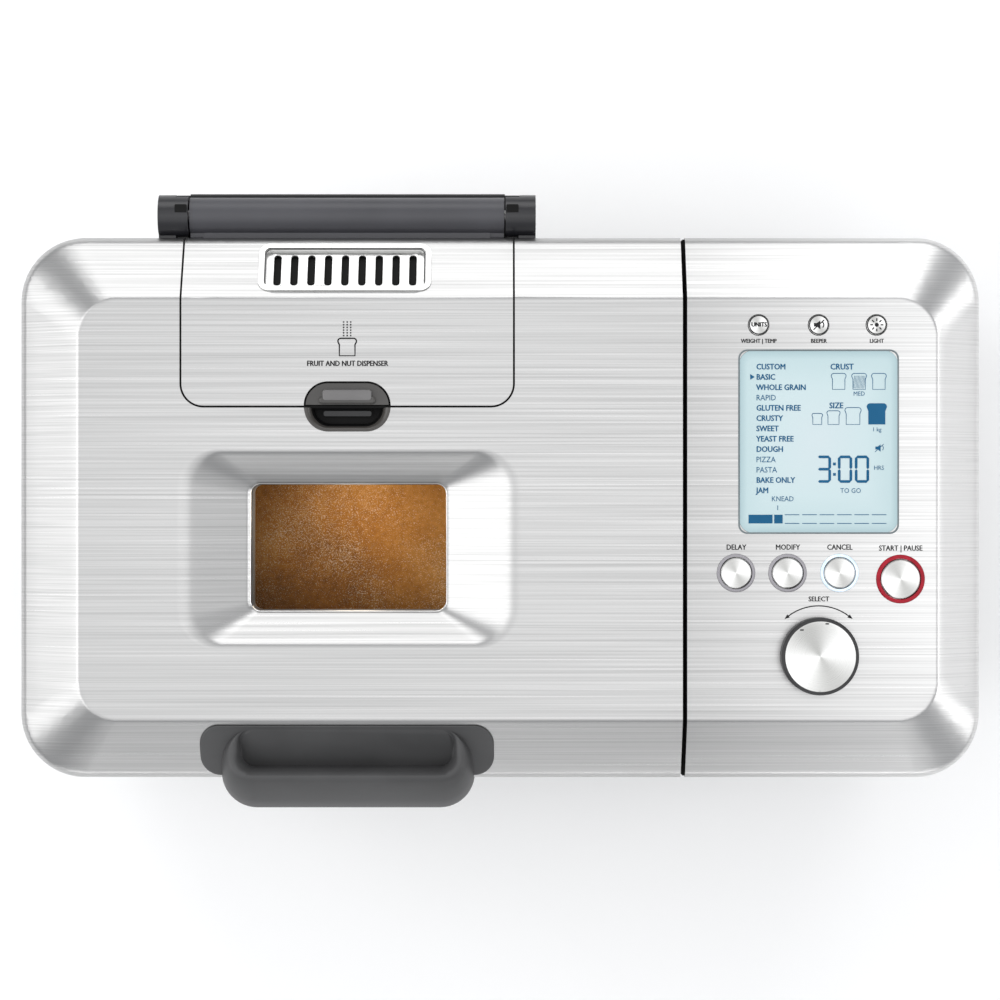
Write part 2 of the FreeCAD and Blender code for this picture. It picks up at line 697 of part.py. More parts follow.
def vent_piece(label, inset, low, high, radius):
    """A rounded block in the slope's own frame: its outline is the vent frame's, inset."""
    half_x, half_y = f"(vent_width / 2 - {inset})", f"(vent_depth / 2 - {inset})"
    body = prism(label, "-" + half_x, half_x, "-" + half_y, half_y, low, high, radius)
    tilt = -math.degrees(math.atan2(number("bevel_drop"), number("bevel_rear")))
    place = [number(t) for t in ("dispenser_middle - 1.35", "rim_rear - bevel_rear / 2",
                                 "rim_level + bevel_drop / 2")]
    body.Placement = Placement(Vector(*place), Rotation(Vector(1, 0, 0), tilt))
    doc.recompute()
    return body


SLEEVE = "1.2"
vent_floor = "-3.2"
vent_frame = vent_piece("vent_frame", "0", "0", "vent_proud", "vent_round")
vent_sleeve = vent_piece("vent_sleeve", SLEEVE, vent_floor, "0.1", f"vent_round - {SLEEVE}")
vent_recess = vent_piece("vent_recess", "vent_border", "-2", "2", "vent_round - vent_border")
vent_hole = vent_piece("vent_hole", f"({SLEEVE} - fit_gap)", "-8", "8",
                       f"vent_round - {SLEEVE} + fit_gap")
grille = cut(fuse(vent_frame, vent_sleeve), vent_recess)
slots = []
for k in range(int(number("slot_count"))):
    slot = prism(f"vent_slot_{k}", f"({k} - (slot_count - 1) / 2) * slot_pitch - slot_width / 2",
                 f"({k} - (slot_count - 1) / 2) * slot_pitch + slot_width / 2", "-slot_length / 2",
                 "slot_length / 2", "-5", "3", "slot_width / 2 - 0.01")
    slot.Placement = vent_hole.Placement
    slots.append(slot)
node("vent_grille", cut(grille, fuse(*slots)))
node("dispenser_lid_skin", cut(dispenser_sheet, vent_hole))

cover_low = "box_top + working_gap"
cover_plate = prism("cover_plate", "dispenser_left + skin + fit_gap", "dispenser_right - skin - fit_gap",
                    "dispenser_front + skin + fit_gap", "box_rear", cover_low, f"{cover_low} + 2",
                    "dispenser_round - skin - fit_gap")
lever_y, lever_z = "(dispenser_front + 6.3)", "(total_height - 2.8)"
ears = [box_tool(f"dispenser_middle + {side} * 12 - 1.5", f"dispenser_middle + {side} * 12 + 1.5",
                 f"{lever_y} - 2.5",
                 f"{lever_y} + 2.5", f"{cover_low} + 1", "total_height - 1.4 * skin") for side in (-1, 1)]
posts = [rod_tool(x, y, f"{cover_low} + 1", "3", f"total_height - skin - ({cover_low} + 1)")
         for x in ("dispenser_left + 16", "dispenser_right - 16")
         for y in ("dispenser_front + 10", "flat_rear - 6")]
lever_bore = rod_tool("dispenser_middle - 20", lever_y, lever_z, "1 + pin_gap", "40", "x")
node("dispenser_lid_liner", cut(fuse(cover_plate, *ears, *posts), lever_bore))

lever_top = common(latch_oval("lever_outside", "dispenser_gap", "total_height - 3.4",
                              "total_height + 0.4"),
                   box_tool(LEFT, RIGHT, "dispenser_front + working_gap", REAR, BELOW, ABOVE))
lever_rod = rod_tool("dispenser_middle - 13.5", lever_y, lever_z, "1", "27", "x")
lever_relief = [box_tool(f"dispenser_middle + {side} * 12 - 2", f"dispenser_middle + {side} * 12 + 2",
                         f"{lever_y} - 4",
                         REAR, BELOW, "total_height - 0.5") for side in (-1, 1)]
ridge = prism("latch_ridge", "dispenser_middle - latch_grip / 2", "dispenser_middle + latch_grip / 2",
              "dispenser_front + 0.6", "dispenser_front + 3.8", "total_height - 1",
              "total_height + latch_rise", "1.5")
soften(ridge, "1", flat_edge("total_height + latch_rise"))
hook = box_tool("dispenser_middle - 6", "dispenser_middle + 6", "dispenser_front + 0.4",
                "dispenser_front + 2",
                "total_height - fold_depth", "total_height - 3")
node("latch_lever", fuse(cut(lever_top, *lever_relief), lever_rod, ridge, hook))

# fixed panel
panel_sheet = sheet_between("panel_left", RIGHT, inner_form)
holes = [prism("display_hole", "panel_middle - display_width / 2 - fit_gap",
               "panel_middle + display_width / 2 + fit_gap",
               "display_y - display_height / 2 - fit_gap", "display_y + display_height / 2 + fit_gap",
               "carrier_top - 20", ABOVE, "display_round + fit_gap")]


def button_place(shift_x, shift_y):
    return f"(panel_middle + {shift_x})", f"(middle_y + {shift_y})"


ringed = [(name, x, y, "button_radius", "ring_width") for name, x, y in LARGE_BUTTONS]
ringed.append((*START_BUTTON, "start_radius", "start_ring_width"))
carrier_holes = list(holes)
for _, shift_x, shift_y in SMALL_BUTTONS:
    hole = rod_tool(*button_place(shift_x, shift_y), "carrier_top - 20",
                    "small_button_radius + working_gap", "60")
    holes.append(hole)
    carrier_holes.append(hole)
for _, shift_x, shift_y, radius, ring in ringed:
    place = button_place(shift_x, shift_y)
    holes.append(rod_tool(*place, "carrier_top - 20", f"{radius} + {ring} + fit_gap", "60"))
    carrier_holes.append(rod_tool(*place, "carrier_top - 20", f"{radius} + working_gap", "60"))
SHAFT_RADIUS = "3"
shaft_hole = rod_tool("panel_middle", "dial_y", "carrier_top - 20", f"{SHAFT_RADIUS} + 1", "60")
holes.append(shaft_hole)
carrier_holes.append(shaft_hole)
node("panel_cover", cut(panel_sheet, *holes))

carrier_low = "(carrier_top - carrier_thick)"
carrier_edge = "(skin + 3 * fit_gap)"
carrier_sides = (f"panel_left + {carrier_edge}", "flat_right - skin", "flat_front + skin",
                 "flat_rear - skin")
carrier_plate = prism("carrier_plate", *carrier_sides, carrier_low, "carrier_top", "flat_round")
leg_places = [(x, y) for x in ("panel_left + 12", "flat_right - 9")
              for y in ("flat_front + 9", "flat_rear - 9")]
legs = [rod_tool(x, y, "deck_top", "4", f"{carrier_low} + 1 - deck_top") for x, y in leg_places]
board_half_x = "(display_width / 2 - 2)"
board_front, board_rear = "(flat_front + 16)", "(flat_rear - 6)"
post_places = [(f"panel_middle + {side} * ({board_half_x} + 6)", y)
               for side in (-1, 1) for y in (f"{board_front} + 12", f"{board_rear} - 34")]
posts = [rod_tool(x, y, "board_top", "3", f"{carrier_low} + 1 - board_top") for x, y in post_places]
node("panel_carrier", cut(fuse(carrier_plate, *legs, *posts), *carrier_holes))

board_sides = (f"panel_middle - {board_half_x} - 12", f"panel_middle + {board_half_x} + 12", board_front,
               board_rear)
board = prism("board_plate", *board_sides, "board_top - board_thick", "board_top", "3")

LENS_PROUD = "0.3"
lens_low = f"(total_height + {LENS_PROUD} - lens_thick)"
lens = prism("display_lens", "panel_middle - display_width / 2", "panel_middle + display_width / 2",
             "display_y - display_height / 2", "display_y + display_height / 2", lens_low,
             f"total_height + {LENS_PROUD}", "display_round")
node("display_lens", lens)
display_cell = prism("display_cell", "panel_middle - display_width / 2 + 2",
                     "panel_middle + display_width / 2 - 2", "display_y - display_height / 2 + 2",
                     "display_y + display_height / 2 - 2", "board_top", f"{lens_low} - fit_gap", "3")

SWITCH_HEIGHT = 4.3
TRAVEL = 1.0
switches = []
stem_low = f"(board_top + {SWITCH_HEIGHT} + {TRAVEL} + working_gap)"
flange_top = f"({carrier_low} - working_gap)"
for name, shift_x, shift_y in SMALL_BUTTONS + LARGE_BUTTONS + [START_BUTTON]:
    radius = "small_button_radius" if (name, shift_x, shift_y) in SMALL_BUTTONS else "button_radius"
    radius = "start_radius" if name == START_BUTTON[0] else radius
    x, y = button_place(shift_x, shift_y)
    profile = [("0", stem_low), ("1.6", stem_low), ("1.6", f"{flange_top} - 1.5"),
               (f"{radius} + 1.3", f"{flange_top} - 1.5"), (f"{radius} + 1.3", flange_top),
               (radius, flange_top), (radius, "total_height + button_rise - 0.5"),
               (f"{radius} - 0.5", "total_height + button_rise"), ("0", "total_height + button_rise")]
    node(name, turned(name, x, y, profile))
    switches.append(box_tool(f"{x} - 3", f"{x} + 3", f"{y} - 3", f"{y} + 3", "board_top",
                             f"board_top + {SWITCH_HEIGHT}"))
leg_notches = [rod_tool(x, y, "board_top - board_thick - 1", "4 + fit_gap", "board_thick + 2") for x,
               y in leg_places[1::2]]
node("control_board", fuse(cut(board, *leg_notches), display_cell, *switches))

RING_NAMES = {"delay_start_button": "plain_rings", "modify_button": "plain_rings",
              "cancel_button": "cancel_ring",
              "start_pause_button": "start_ring"}
rings = {}
for name, shift_x, shift_y, radius, ring in ringed:
    x, y = button_place(shift_x, shift_y)
    inner, outer = f"{radius} + working_gap", f"{radius} + {ring}"
    profile = [(inner, "carrier_top"), (outer, "carrier_top"), (outer, "total_height + ring_rise - 0.4"),
               (f"{outer} - 0.4", "total_height + ring_rise"), (inner, "total_height + ring_rise")]
    rings.setdefault(RING_NAMES[name], []).append(turned("ring", x, y, profile))
for name, made in rings.items():
    node(name, group(made))

encoder = cut(box_tool("panel_middle - 7", "panel_middle + 7", "dial_y - 7", "dial_y + 7", "board_top",
                       "board_top + 8"),
              rod_tool("panel_middle", "dial_y", "board_top + 2", f"{SHAFT_RADIUS} + pin_gap", "20"))
node("dial_encoder", encoder)
dial_low = "total_height + 0.6"
dial_high = "total_height + dial_rise"
CAP_INSET = "1.5"
cap_floor = f"({dial_high} - 1.4)"
knob = turned("dial_knob", "panel_middle", "dial_y",
              [("0", "board_top + 2.3"), (SHAFT_RADIUS, "board_top + 2.3"), (SHAFT_RADIUS, dial_low),
               ("dial_radius", dial_low), ("dial_radius", f"{dial_high} - 1.2"),
               ("dial_radius - 0.7", dial_high),
               (f"dial_radius - {CAP_INSET}", dial_high), (f"dial_radius - {CAP_INSET}", cap_floor),
               ("0", cap_floor)])
node("dial_knob", knob)
dish = "0.6"
node("dial_cap", turned("dial_cap", "panel_middle", "dial_y",
                        [("0", cap_floor), (f"dial_radius - {CAP_INSET}", cap_floor),
                         (f"dial_radius - {CAP_INSET}", dial_high),
                         (f"dial_radius - {CAP_INSET} - 1", dial_high),
                         ("0", f"{dial_high} - {dish}")]))

# ---- handle and hinge --------------------------------------------------------------------------------

raised_form = top_form("raised_form", lift="handle_plate")
handle_middle = "(window_middle_x - 1)"
flange_block = prism("handle_flange", f"{handle_middle} - handle_width / 2",
                     f"{handle_middle} + handle_width / 2",
                     "rim_front + 0.8", "rim_front + bevel_front - 2.9", "rim_level - 4",
                     "total_height + 20", "8.5")
flange = common(flange_block, raised_form)
lip_body = new_body("handle_lip")
lip_sketch = new_sketch(lip_body, "YZ", level=handle_middle)
lip_front = "rim_front - handle_reach"
lip_low = "(skirt_low + 2)"
lip_top = "(rim_level + handle_rise)"
add_polygon(lip_sketch, [(lip_front, lip_low), (f"{lip_front} + handle_wall", lip_low),
                         (f"{lip_front} + handle_wall", "rim_level - 3"),
                         ("rim_front + 1", "rim_level - 3"),
                         ("rim_front + 16", "rim_level + 8"), ("rim_front + 19", "rim_level + 15"),
                         ("rim_front + 4", f"{lip_top} - 1.5"), ("rim_front - 4", lip_top),
                         (lip_front, f"{lip_top} - 4")])
pad(lip_body, lip_sketch, "handle_lip_width", middle=True)
soften(lip_body, "7",
       lambda edge: edge.BoundBox.YMax < number("rim_front - 8") and edge.BoundBox.ZLength > 5
       and edge.BoundBox.XLength < 0.1 and edge.BoundBox.YMin < number(lip_front) + 0.1)
node("lid_handle", cut(fuse(flange, lip_body), outer_form))

barrel_left, barrel_right = "(dispenser_left + 1.4)", "(dispenser_right - 3.6)"
PIN_RUN = "hinge_pin_radius + pin_gap"

barrel = rod_tool(barrel_left, "axis_y", "axis_z", "barrel_radius", f"{barrel_right} - {barrel_left}",
                  "x")
barrel_web = box_tool(f"{barrel_left} + 6", f"{barrel_right} - 6", "rim_rear", "axis_y - 3",
                      "axis_z - 4.5", "axis_z + 3")
barrel_bore = rod_tool("dispenser_left - 30", "axis_y", "axis_z", PIN_RUN, "dispenser_width + 60", "x")
node("hinge_barrel", cut(fuse(barrel, barrel_web), barrel_bore))

plate_back = "(housing_rear + ear_thick / 2)"
plate_left, plate_right = "(dispenser_left - 11)", "(dispenser_right + 10)"
back_plate = box_tool(plate_left, plate_right, "housing_rear", plate_back, "axis_z - 42",
                      "axis_z - cap_radius - cap_clear")
trough = box_tool(plate_left, plate_right, "housing_rear", "axis_y + 9.8",
                  "axis_z - cap_radius - cap_clear - trough_thick",
                  "axis_z - cap_radius - cap_clear")
trough_lip = box_tool(plate_left, plate_right, "axis_y + 7.4", "axis_y + 9.8",
                      "axis_z - cap_radius - cap_clear - trough_thick",
                      "axis_z - cap_radius - cap_clear + 0.4")
ear_parts = []
for start in ("dispenser_left - 4.1", "dispenser_right - 2.6"):
    ear_parts.append(box_tool(start, f"({start}) + ear_thick", "axis_y - 9.6", "axis_y + 1",
                              "axis_z - 12", "axis_z"))
    ear_parts.append(rod_tool(start, "axis_y", "axis_z", "6.2", "ear_thick", "x"))
bracket_bore = rod_tool("dispenser_left - 30", "axis_y", "axis_z", PIN_RUN, "dispenser_width + 60", "x")
screw_places = [(x, "axis_z - 27") for x in ("dispenser_left + 8", "dispenser_left + 50",
                                             "dispenser_right - 50",
                                             "dispenser_right - 8")]
bracket_holes = [rod_tool(x, "housing_rear - 5", z, "2", "20", "y") for x, z in screw_places]
node("hinge_bracket", cut(fuse(back_plate, trough, trough_lip, *ear_parts), bracket_bore, *bracket_holes))

caps = []
shell_gap = "0.5"
for side, start in (("left", "dispenser_left - 12.1"), ("right", "dispenser_right - 3.1")):
    cap_start = f"({start})"
    disc_start = cap_start if side == "left" else f"({cap_start} + 0.5 + ear_thick + {shell_gap})"
    disc_length = f"(cap_width - ear_thick - {shell_gap} - 0.9)"
    drum = rod_tool(cap_start, "axis_y", "axis_z", "cap_radius", "cap_width - 0.4", "x")
    hollow_start = f"({cap_start} + {disc_length})" if side == "left" else f"({cap_start} - 1)"
    hollow = rod_tool(hollow_start, "axis_y", "axis_z", "6.6", f"cap_width - {disc_length} + 1", "x")
    under = box_tool(hollow_start, f"{hollow_start} + cap_width - {disc_length} + 1", "axis_y - 20",
                     "axis_y + 20",
                     "axis_z - 20", "axis_z + 1.4")
    front_side = box_tool(hollow_start, f"{hollow_start} + cap_width - {disc_length} + 1", "axis_y + 6.6",
                          "axis_y + 20", "axis_z", "axis_z + 4.2")
    web = box_tool(disc_start, f"{disc_start} + {disc_length}", "rim_rear", "axis_y - 4", "axis_z - 4.5",
                   "axis_z + 3")
    caps.append(fuse(cut(drum, hollow, under, front_side), web))
pin_bore = rod_tool("dispenser_left - 30", "axis_y", "axis_z", "hinge_pin_radius",
                    "dispenser_width + 60", "x")
caps = [cut(cap, pin_bore) for cap in caps]
node("hinge_caps", group(caps))
node("hinge_pin", rod_tool("dispenser_left - 10.6", "axis_y", "axis_z", "hinge_pin_radius",
                           "dispenser_width + 19", "x"))

# ---- housing -----------------------------------------------------------------------------------------

HOUSING = ("-housing_side", "housing_side", "housing_front", "housing_rear")


def housing_prism(label, inset, low, high):
    sides = ("-housing_side + " + inset, "housing_side - " + inset, "housing_front + " + inset,
             "housing_rear - " + inset)
    return prism(label, *sides, low, high, "housing_round - " + inset)


grip_z, grip_height, grip_width, grip_depth = "(deck_low - 52)", "30", "96", "20"
vents = []
for k in range(9):
    low = f"(base_top + 20 + {k} * 9)"
    vents.append(box_tool("housing_side - 10", "housing_side + 10", "middle_y - 28", "middle_y + 28",
                          low, f"{low} + 3.5"))
    vents.append(box_tool("105", "161", "housing_rear - 10", "housing_rear + 10", low, f"{low} + 3.5"))
grip_holes = [box_tool(f"{side} * housing_side - 10", f"{side} * housing_side + 10",
                       f"middle_y - {grip_width} / 2 - fit_gap", f"middle_y + {grip_width} / 2 + fit_gap",
                       f"{grip_z} - {grip_height} / 2 - fit_gap", f"{grip_z} + {grip_height} / 2 + fit_gap")
              for side in (-1, 1)]
rear_screws = [(x, "base_top + lip_height / 2") for x in ("-140", "-50", "50", "140")]
rear_holes = [rod_tool(x, "housing_rear - 12", z, "1.6", "24", "y") for x, z in rear_screws]
hinge_holes = [rod_tool(x, "housing_rear - 5", z, "2", "20", "y") for x, z in screw_places]
shell = cut(housing_prism("housing_outside", "0", "base_top", "deck_top"),
            housing_prism("housing_inside", "skin", "base_top - 1",
                          "deck_top + 1"), fuse(*vents), *grip_holes,
            *rear_holes, *hinge_holes)
node("housing_shell", shell)

grips = []
for side in (-1, 1):
    face = f"({side} * housing_side)"
    outer_face, inner_face = f"({face} + {side} * 1.5)", f"({face} - {side} * {grip_depth})"
    across = (outer_face, face) if side < 0 else (face, outer_face)
    flange_box = box_tool(*across, f"middle_y - {grip_width} / 2 - 4", f"middle_y + {grip_width} / 2 + 4",
                          f"{grip_z} - {grip_height} / 2 - 4", f"{grip_z} + {grip_height} / 2 + 4")
    across = (face, inner_face) if side < 0 else (inner_face, face)
    cup_box = box_tool(*across, f"middle_y - {grip_width} / 2", f"middle_y + {grip_width} / 2",
                       f"{grip_z} - {grip_height} / 2", f"{grip_z} + {grip_height} / 2")
    floor = f"({inner_face} + {side} * 2)"
    across = (f"{face} - 5", floor) if side < 0 else (floor, f"{face} + 5")
    finger_box = box_tool(*across, f"middle_y - {grip_width} / 2 + 2", f"middle_y + {grip_width} / 2 - 2",
                          f"{grip_z} - {grip_height} / 2 + 2", f"{grip_z} + {grip_height} / 2 - 2")
    grips.append(cut(fuse(flange_box, cup_box), finger_box))
node("side_grips", group(grips))

deck = housing_prism("deck_plate", "(skin + fit_gap)", "deck_low", "deck_top")
chamber_sides = ("chamber_left", "chamber_right", "chamber_front", "chamber_rear")


def chamber_prism(label, grow, low, high):
    sides = (f"chamber_left - {grow}", f"chamber_right + {grow}", f"chamber_front - {grow}",
             f"chamber_rear + {grow}")
    return prism(label, *sides, low, high, "chamber_round + " + grow)


deck_hole = chamber_prism("deck_hole", "(skin + fit_gap)", "deck_low - 1", "deck_top + 1")
wire_hole = box_tool("panel_middle - 20", "panel_middle + 20", "middle_y - 15", "middle_y + 25",
                     "deck_low - 1",
                     "deck_top + 1")
node("top_deck", cut(deck, deck_hole, wire_hole))

FOOT_PLACES = [(f"{i} * foot_span_x / 2", f"middle_y + {j} * foot_span_y / 2")
               for i in (-1, 1) for j in (-1, 1)]
foot_profile = [("0", "0"), ("foot_radius - 1", "0"), ("foot_radius", "1"),
                ("foot_radius", "foot_height"),
                ("4", "foot_height"), ("4", "foot_height + base_wall"), ("5", "foot_height + base_wall"),
                ("4", "foot_height + base_wall + 3"), ("0", "foot_height + base_wall + 3")]
node("rubber_feet", group([turned("foot", x, y, foot_profile) for x, y in FOOT_PLACES]))

tray_outside = fuse(housing_prism("tray_outside", "0", "foot_height", "base_top"),
                    housing_prism("tray_lip", "(skin + fit_gap)", "base_top - 1",
                                  "base_top + lip_height"))
tray_inside = housing_prism("tray_inside", "(skin + fit_gap + base_wall)", "foot_height + base_wall",
                           "base_top + lip_height + 1")
foot_holes = [rod_tool(x, y, "0", "4", "30") for x, y in FOOT_PLACES]
CORD_X, CORD_Z = "(housing_side - 50)", "(foot_height + 18)"
CORD_BODY, CORD_BORE = "6.5", "3.5"
cord_hole = rod_tool(CORD_X, "housing_rear - 20", CORD_Z, CORD_BODY, "40", "y")
floor_vents = [box_tool(f"{k} * 9 + 100", f"{k} * 9 + 104", "middle_y - 30", "middle_y + 30", "0",
                        "foot_height + 4")
               for k in range(8)]
lip_holes = [rod_tool(x, "housing_rear - 12", z, "1.5", "24", "y") for x, z in rear_screws]
node("base_tray", cut(tray_outside, tray_inside, *foot_holes, cord_hole, fuse(*floor_vents), *lip_holes))

tray_wall = "(skin + fit_gap + base_wall)"
grommet = new_body("cord_grommet")
grommet_sketch = new_sketch(grommet, "XZ", level=f"-(housing_rear)", across=CORD_X, up=CORD_Z)
add_circle(grommet_sketch, "0", "0", "9.5")
pad(grommet, grommet_sketch, "2.5", reverse=True)
for radius, depth in ((CORD_BODY, tray_wall), ("8.5", f"{tray_wall} + 3")):
    step = new_sketch(grommet, "XZ",
                      level="-(housing_rear)" if radius == CORD_BODY else f"-(housing_rear - {tray_wall})",
                      across=CORD_X, up=CORD_Z)
    add_circle(step, "0", "0", radius)
    pad(grommet, step, depth if radius == CORD_BODY else "3")
bore = new_sketch(grommet, "XZ", level="-(housing_rear + 2.5)", across=CORD_X, up=CORD_Z)
add_circle(bore, "0", "0", CORD_BORE)
pocket(grommet, bore, f"2.5 + {tray_wall} + 3", reverse=True)
node("cord_grommet", grommet)


def screws(places, seat, shank, radius, head):
    """Round-headed screws whose heads lie on a rear face and whose shanks run forward."""
    made = []
    for x, z in places:
        body = new_body("screw")
        profile = [("0", f"-({shank})"), (radius, f"-({shank})"), (radius, "0"), (head, "0"),
                   (f"{head} - 0.6", "1.6"),
                   ("0", "1.6")]
        sketch = new_sketch(body)
        revolve(body, add_polygon(sketch, profile))
        body.Placement = Placement(Vector(*(number(t) for t in (x, seat, z))), Rotation())
        made.append(body)
    return made


housing_screws = screws(rear_screws, "housing_rear", "6", "1.5", "3.2")
node("case_screws", group(housing_screws + screws(screw_places, plate_back, "5", "2", "3.8")))

# ---- chamber, pan and drive --------------------------------------------------------------------------

SPINDLE_RUN = "spindle_radius + pin_gap"
chamber = cut(fuse(chamber_prism("chamber_outside", "skin", "chamber_floor", "deck_top + skin"),
                   chamber_prism("chamber_flange", "flange_width", "deck_top", "deck_top + skin")),
              chamber_prism("chamber_inside", "0", "floor_top", "deck_top + 5"))
BUSH_RADIUS = "11"
bush_hole = rod_tool("chamber_x", "middle_y", "chamber_floor - 5", BUSH_RADIUS, "20")
lamp_z, LAMP_RADIUS = "(deck_low - 26)", "9"
lamp_hole = rod_tool("chamber_right - 5", "middle_y + 30", lamp_z, LAMP_RADIUS, "12", "x")
probe_hole = rod_tool("chamber_right - 5", "middle_y - 30", "floor_top + 60", "3", "12", "x")
element_z = "(floor_top + 24)"
element_holes = [rod_tool("chamber_right - 5", f"middle_y + {side} * 14", element_z, "element_radius",
                          "12", "x")
                 for side in (-1, 1)]

lamp = cut(rod_tool("chamber_right - 4", "middle_y + 30", lamp_z, LAMP_RADIUS, "24", "x"),
           rod_tool("chamber_right - 1", "middle_y + 30", lamp_z, "6", "30", "x"))
node("chamber_lamp", lamp)
node("temperature_probe", rod_tool("chamber_right - 8", "middle_y - 30", "floor_top + 60", "3", "22",
                                   "x"))

element = new_body("heating_element_loop")
loop_x, loop_y, loop_round = "(chamber_length / 2 - 9)", "(chamber_width / 2 - 9)", "22"
path = new_sketch(element, level=element_z, across="chamber_x", up="middle_y")
add_rounded(path, "-" + loop_x, loop_x, "-" + loop_y, loop_y, loop_round)
section = new_sketch(element, "YZ", level="chamber_x", across="middle_y", up=element_z)
add_circle(section, "-" + loop_y, "0", "element_radius")
pipe = element.newObject("PartDesign::AdditivePipe", "Pipe")
pipe.Profile = section
pipe.Spine = path
doc.recompute()
loop_gap = box_tool("chamber_right - 20", "chamber_right - 1", "middle_y - 14", "middle_y + 14",
                    f"{element_z} - 5",
                    f"{element_z} + 5")
ends = [rod_tool(f"chamber_right - 9", f"middle_y + {side} * 14", element_z, "element_radius", "24", "x")
        for side in (-1, 1)]
node("heating_element", fuse(cut(element, loop_gap), *ends))

leg_height = "chamber_floor - chassis_top"
chamber_legs = [rod_tool(f"chamber_x + {i} * 80", f"middle_y + {j} * 55", "chassis_top", "5", leg_height)
                for i in (-1, 1) for j in (-1, 1)]

chassis = housing_prism("chassis_sheet", "(skin + 3 * fit_gap)", "chassis_level", "chassis_top")
spindle_hole = rod_tool("chamber_x", "middle_y", "chassis_level - 1", f"{SPINDLE_RUN} + 1", "10")
motor_hole = rod_tool("motor_place", "middle_y", "chassis_level - 1", "8", "10")
node("chassis_plate", fuse(cut(chassis, spindle_hole, motor_hole), *chamber_legs))

bush = turned("spindle_bush", "chamber_x", "middle_y",
              [(SPINDLE_RUN, "chassis_top"), (f"{BUSH_RADIUS} + 6", "chassis_top"),
               (f"{BUSH_RADIUS} + 6", "chassis_top + 3"),
               (BUSH_RADIUS, "chassis_top + 3"), (BUSH_RADIUS, "floor_top"), (SPINDLE_RUN, "floor_top")])
node("spindle_bush", bush)

SOCKET_RADIUS = "30"
socket_high = "(floor_top + 10)"
pan_socket = turned("pan_socket", "chamber_x", "middle_y",
                    [(SOCKET_RADIUS, "floor_top - 0.5"), (f"{SOCKET_RADIUS} + 10", "floor_top - 0.5"),
                     (f"{SOCKET_RADIUS} + 10", "floor_top + 2"),
                     (f"{SOCKET_RADIUS} + 3", "floor_top + 3"),
                     (f"{SOCKET_RADIUS} + 3", socket_high), (SOCKET_RADIUS, socket_high)])
node("oven_chamber", cut(fuse(chamber, pan_socket), bush_hole, lamp_hole, probe_hole, *element_holes))

pulley_top = "(pulley_level + pulley_thick)"
spindle = turned("spindle_rod", "chamber_x", "middle_y",
                 [("0", "pulley_level - 3"), ("spindle_radius", "pulley_level - 3"),
                  ("spindle_radius", "floor_top + 9"), ("0", "floor_top + 9")])


def pulley(label, x, rim, bore_radius, low, hub_high):
    """A flat-belt pulley: rim with two flanges, thin web and a hub."""
    groove = f"(({pulley_top} - {low}) / 2 - belt_width / 2 - working_gap)"
    profile = [(bore_radius, low), (rim, low), (rim, f"{low} + {groove}"),
               (f"{rim} - belt_thick", f"{low} + {groove}"),
               (f"{rim} - belt_thick", f"{pulley_top} - {groove}"),
               (rim, f"{pulley_top} - {groove}"), (rim, pulley_top), (bore_radius, pulley_top)]
    wheel = turned(label + "_wheel", x, "middle_y", profile)
    hub = turned(label + "_hub", x, "middle_y", [(bore_radius, low), (f"{bore_radius} + 4", low),
                                                 (f"{bore_radius} + 4", hub_high), (bore_radius,
                                                                                    hub_high)])
    return fuse(wheel, hub)


large = pulley("large_pulley", "chamber_x", "large_pulley_radius + belt_thick", "spindle_radius",
               "pulley_level",
               f"{pulley_top} + 6")
lightening = [rod_tool(f"chamber_x + {i} * 24", f"middle_y + {j} * 24", "pulley_level - 5", "8", "30")
              for i, j in ((1, 0), (-1, 0), (0, 1), (0, -1))]
node("large_pulley", cut(large, *lightening))
MOTOR_SHAFT = "3"
small = pulley("motor_pulley", "motor_place", "small_pulley_radius + belt_thick", MOTOR_SHAFT,
               "pulley_level",
               f"{pulley_top} + 4")
motor_shaft = turned("motor_shaft", "motor_place", "middle_y",
                     [("0", "pulley_level - 2"), (MOTOR_SHAFT, "pulley_level - 2"),
                      (MOTOR_SHAFT, "chassis_top + 20"), ("0", "chassis_top + 20")])
node("motor_pulley", fuse(small, motor_shaft))
motor = turned("motor", "motor_place", "middle_y",
               [(f"{MOTOR_SHAFT} + pin_gap", "chassis_level - 3"), ("7.7", "chassis_level - 3"),
                ("7.7", "chassis_top"),
                ("motor_radius", "chassis_top"), ("motor_radius", "chassis_top + motor_height - 4"),
                ("motor_radius - 4", "chassis_top + motor_height"), ("0", "chassis_top + motor_height"),
                ("0", "chassis_top + 20.3"), (f"{MOTOR_SHAFT} + pin_gap", "chassis_top + 20.3")])
node("drive_motor", motor)

belt_low = f"((pulley_level + {pulley_top}) / 2 - belt_width / 2)"


def belt_outline(label, grow, low, high):
    """The stadium of unlike ends that lies round both pulleys, grown by an amount."""
    reach = number("motor_place - chamber_x")
    big = number(f"large_pulley_radius + {grow}")
    little = number(f"small_pulley_radius + {grow}")
    lean = math.asin((big - little) / reach)
    cx, cy, mx = number("chamber_x"), number("middle_y"), number("motor_place")
    up = Vector(math.sin(lean), math.cos(lean), 0)
    down = Vector(math.sin(lean), -math.cos(lean), 0)
    first, second = Vector(cx, cy, number(low)), Vector(mx, cy, number(low))
    edges = [Part.LineSegment(first + up * big, second + up * little).toShape(),
             Part.Arc(second + up * little, second + Vector(little, 0, 0),
                      second + down * little).toShape(),
             Part.LineSegment(second + down * little, first + down * big).toShape(),
             Part.Arc(first + down * big, first - Vector(big, 0, 0), first + up * big).toShape()]
    feature = doc.addObject("Part::Feature", label)
    feature.Shape = Part.Face(Part.Wire(edges)).extrude(Vector(0, 0, number(f"({high}) - ({low})")))
    return feature


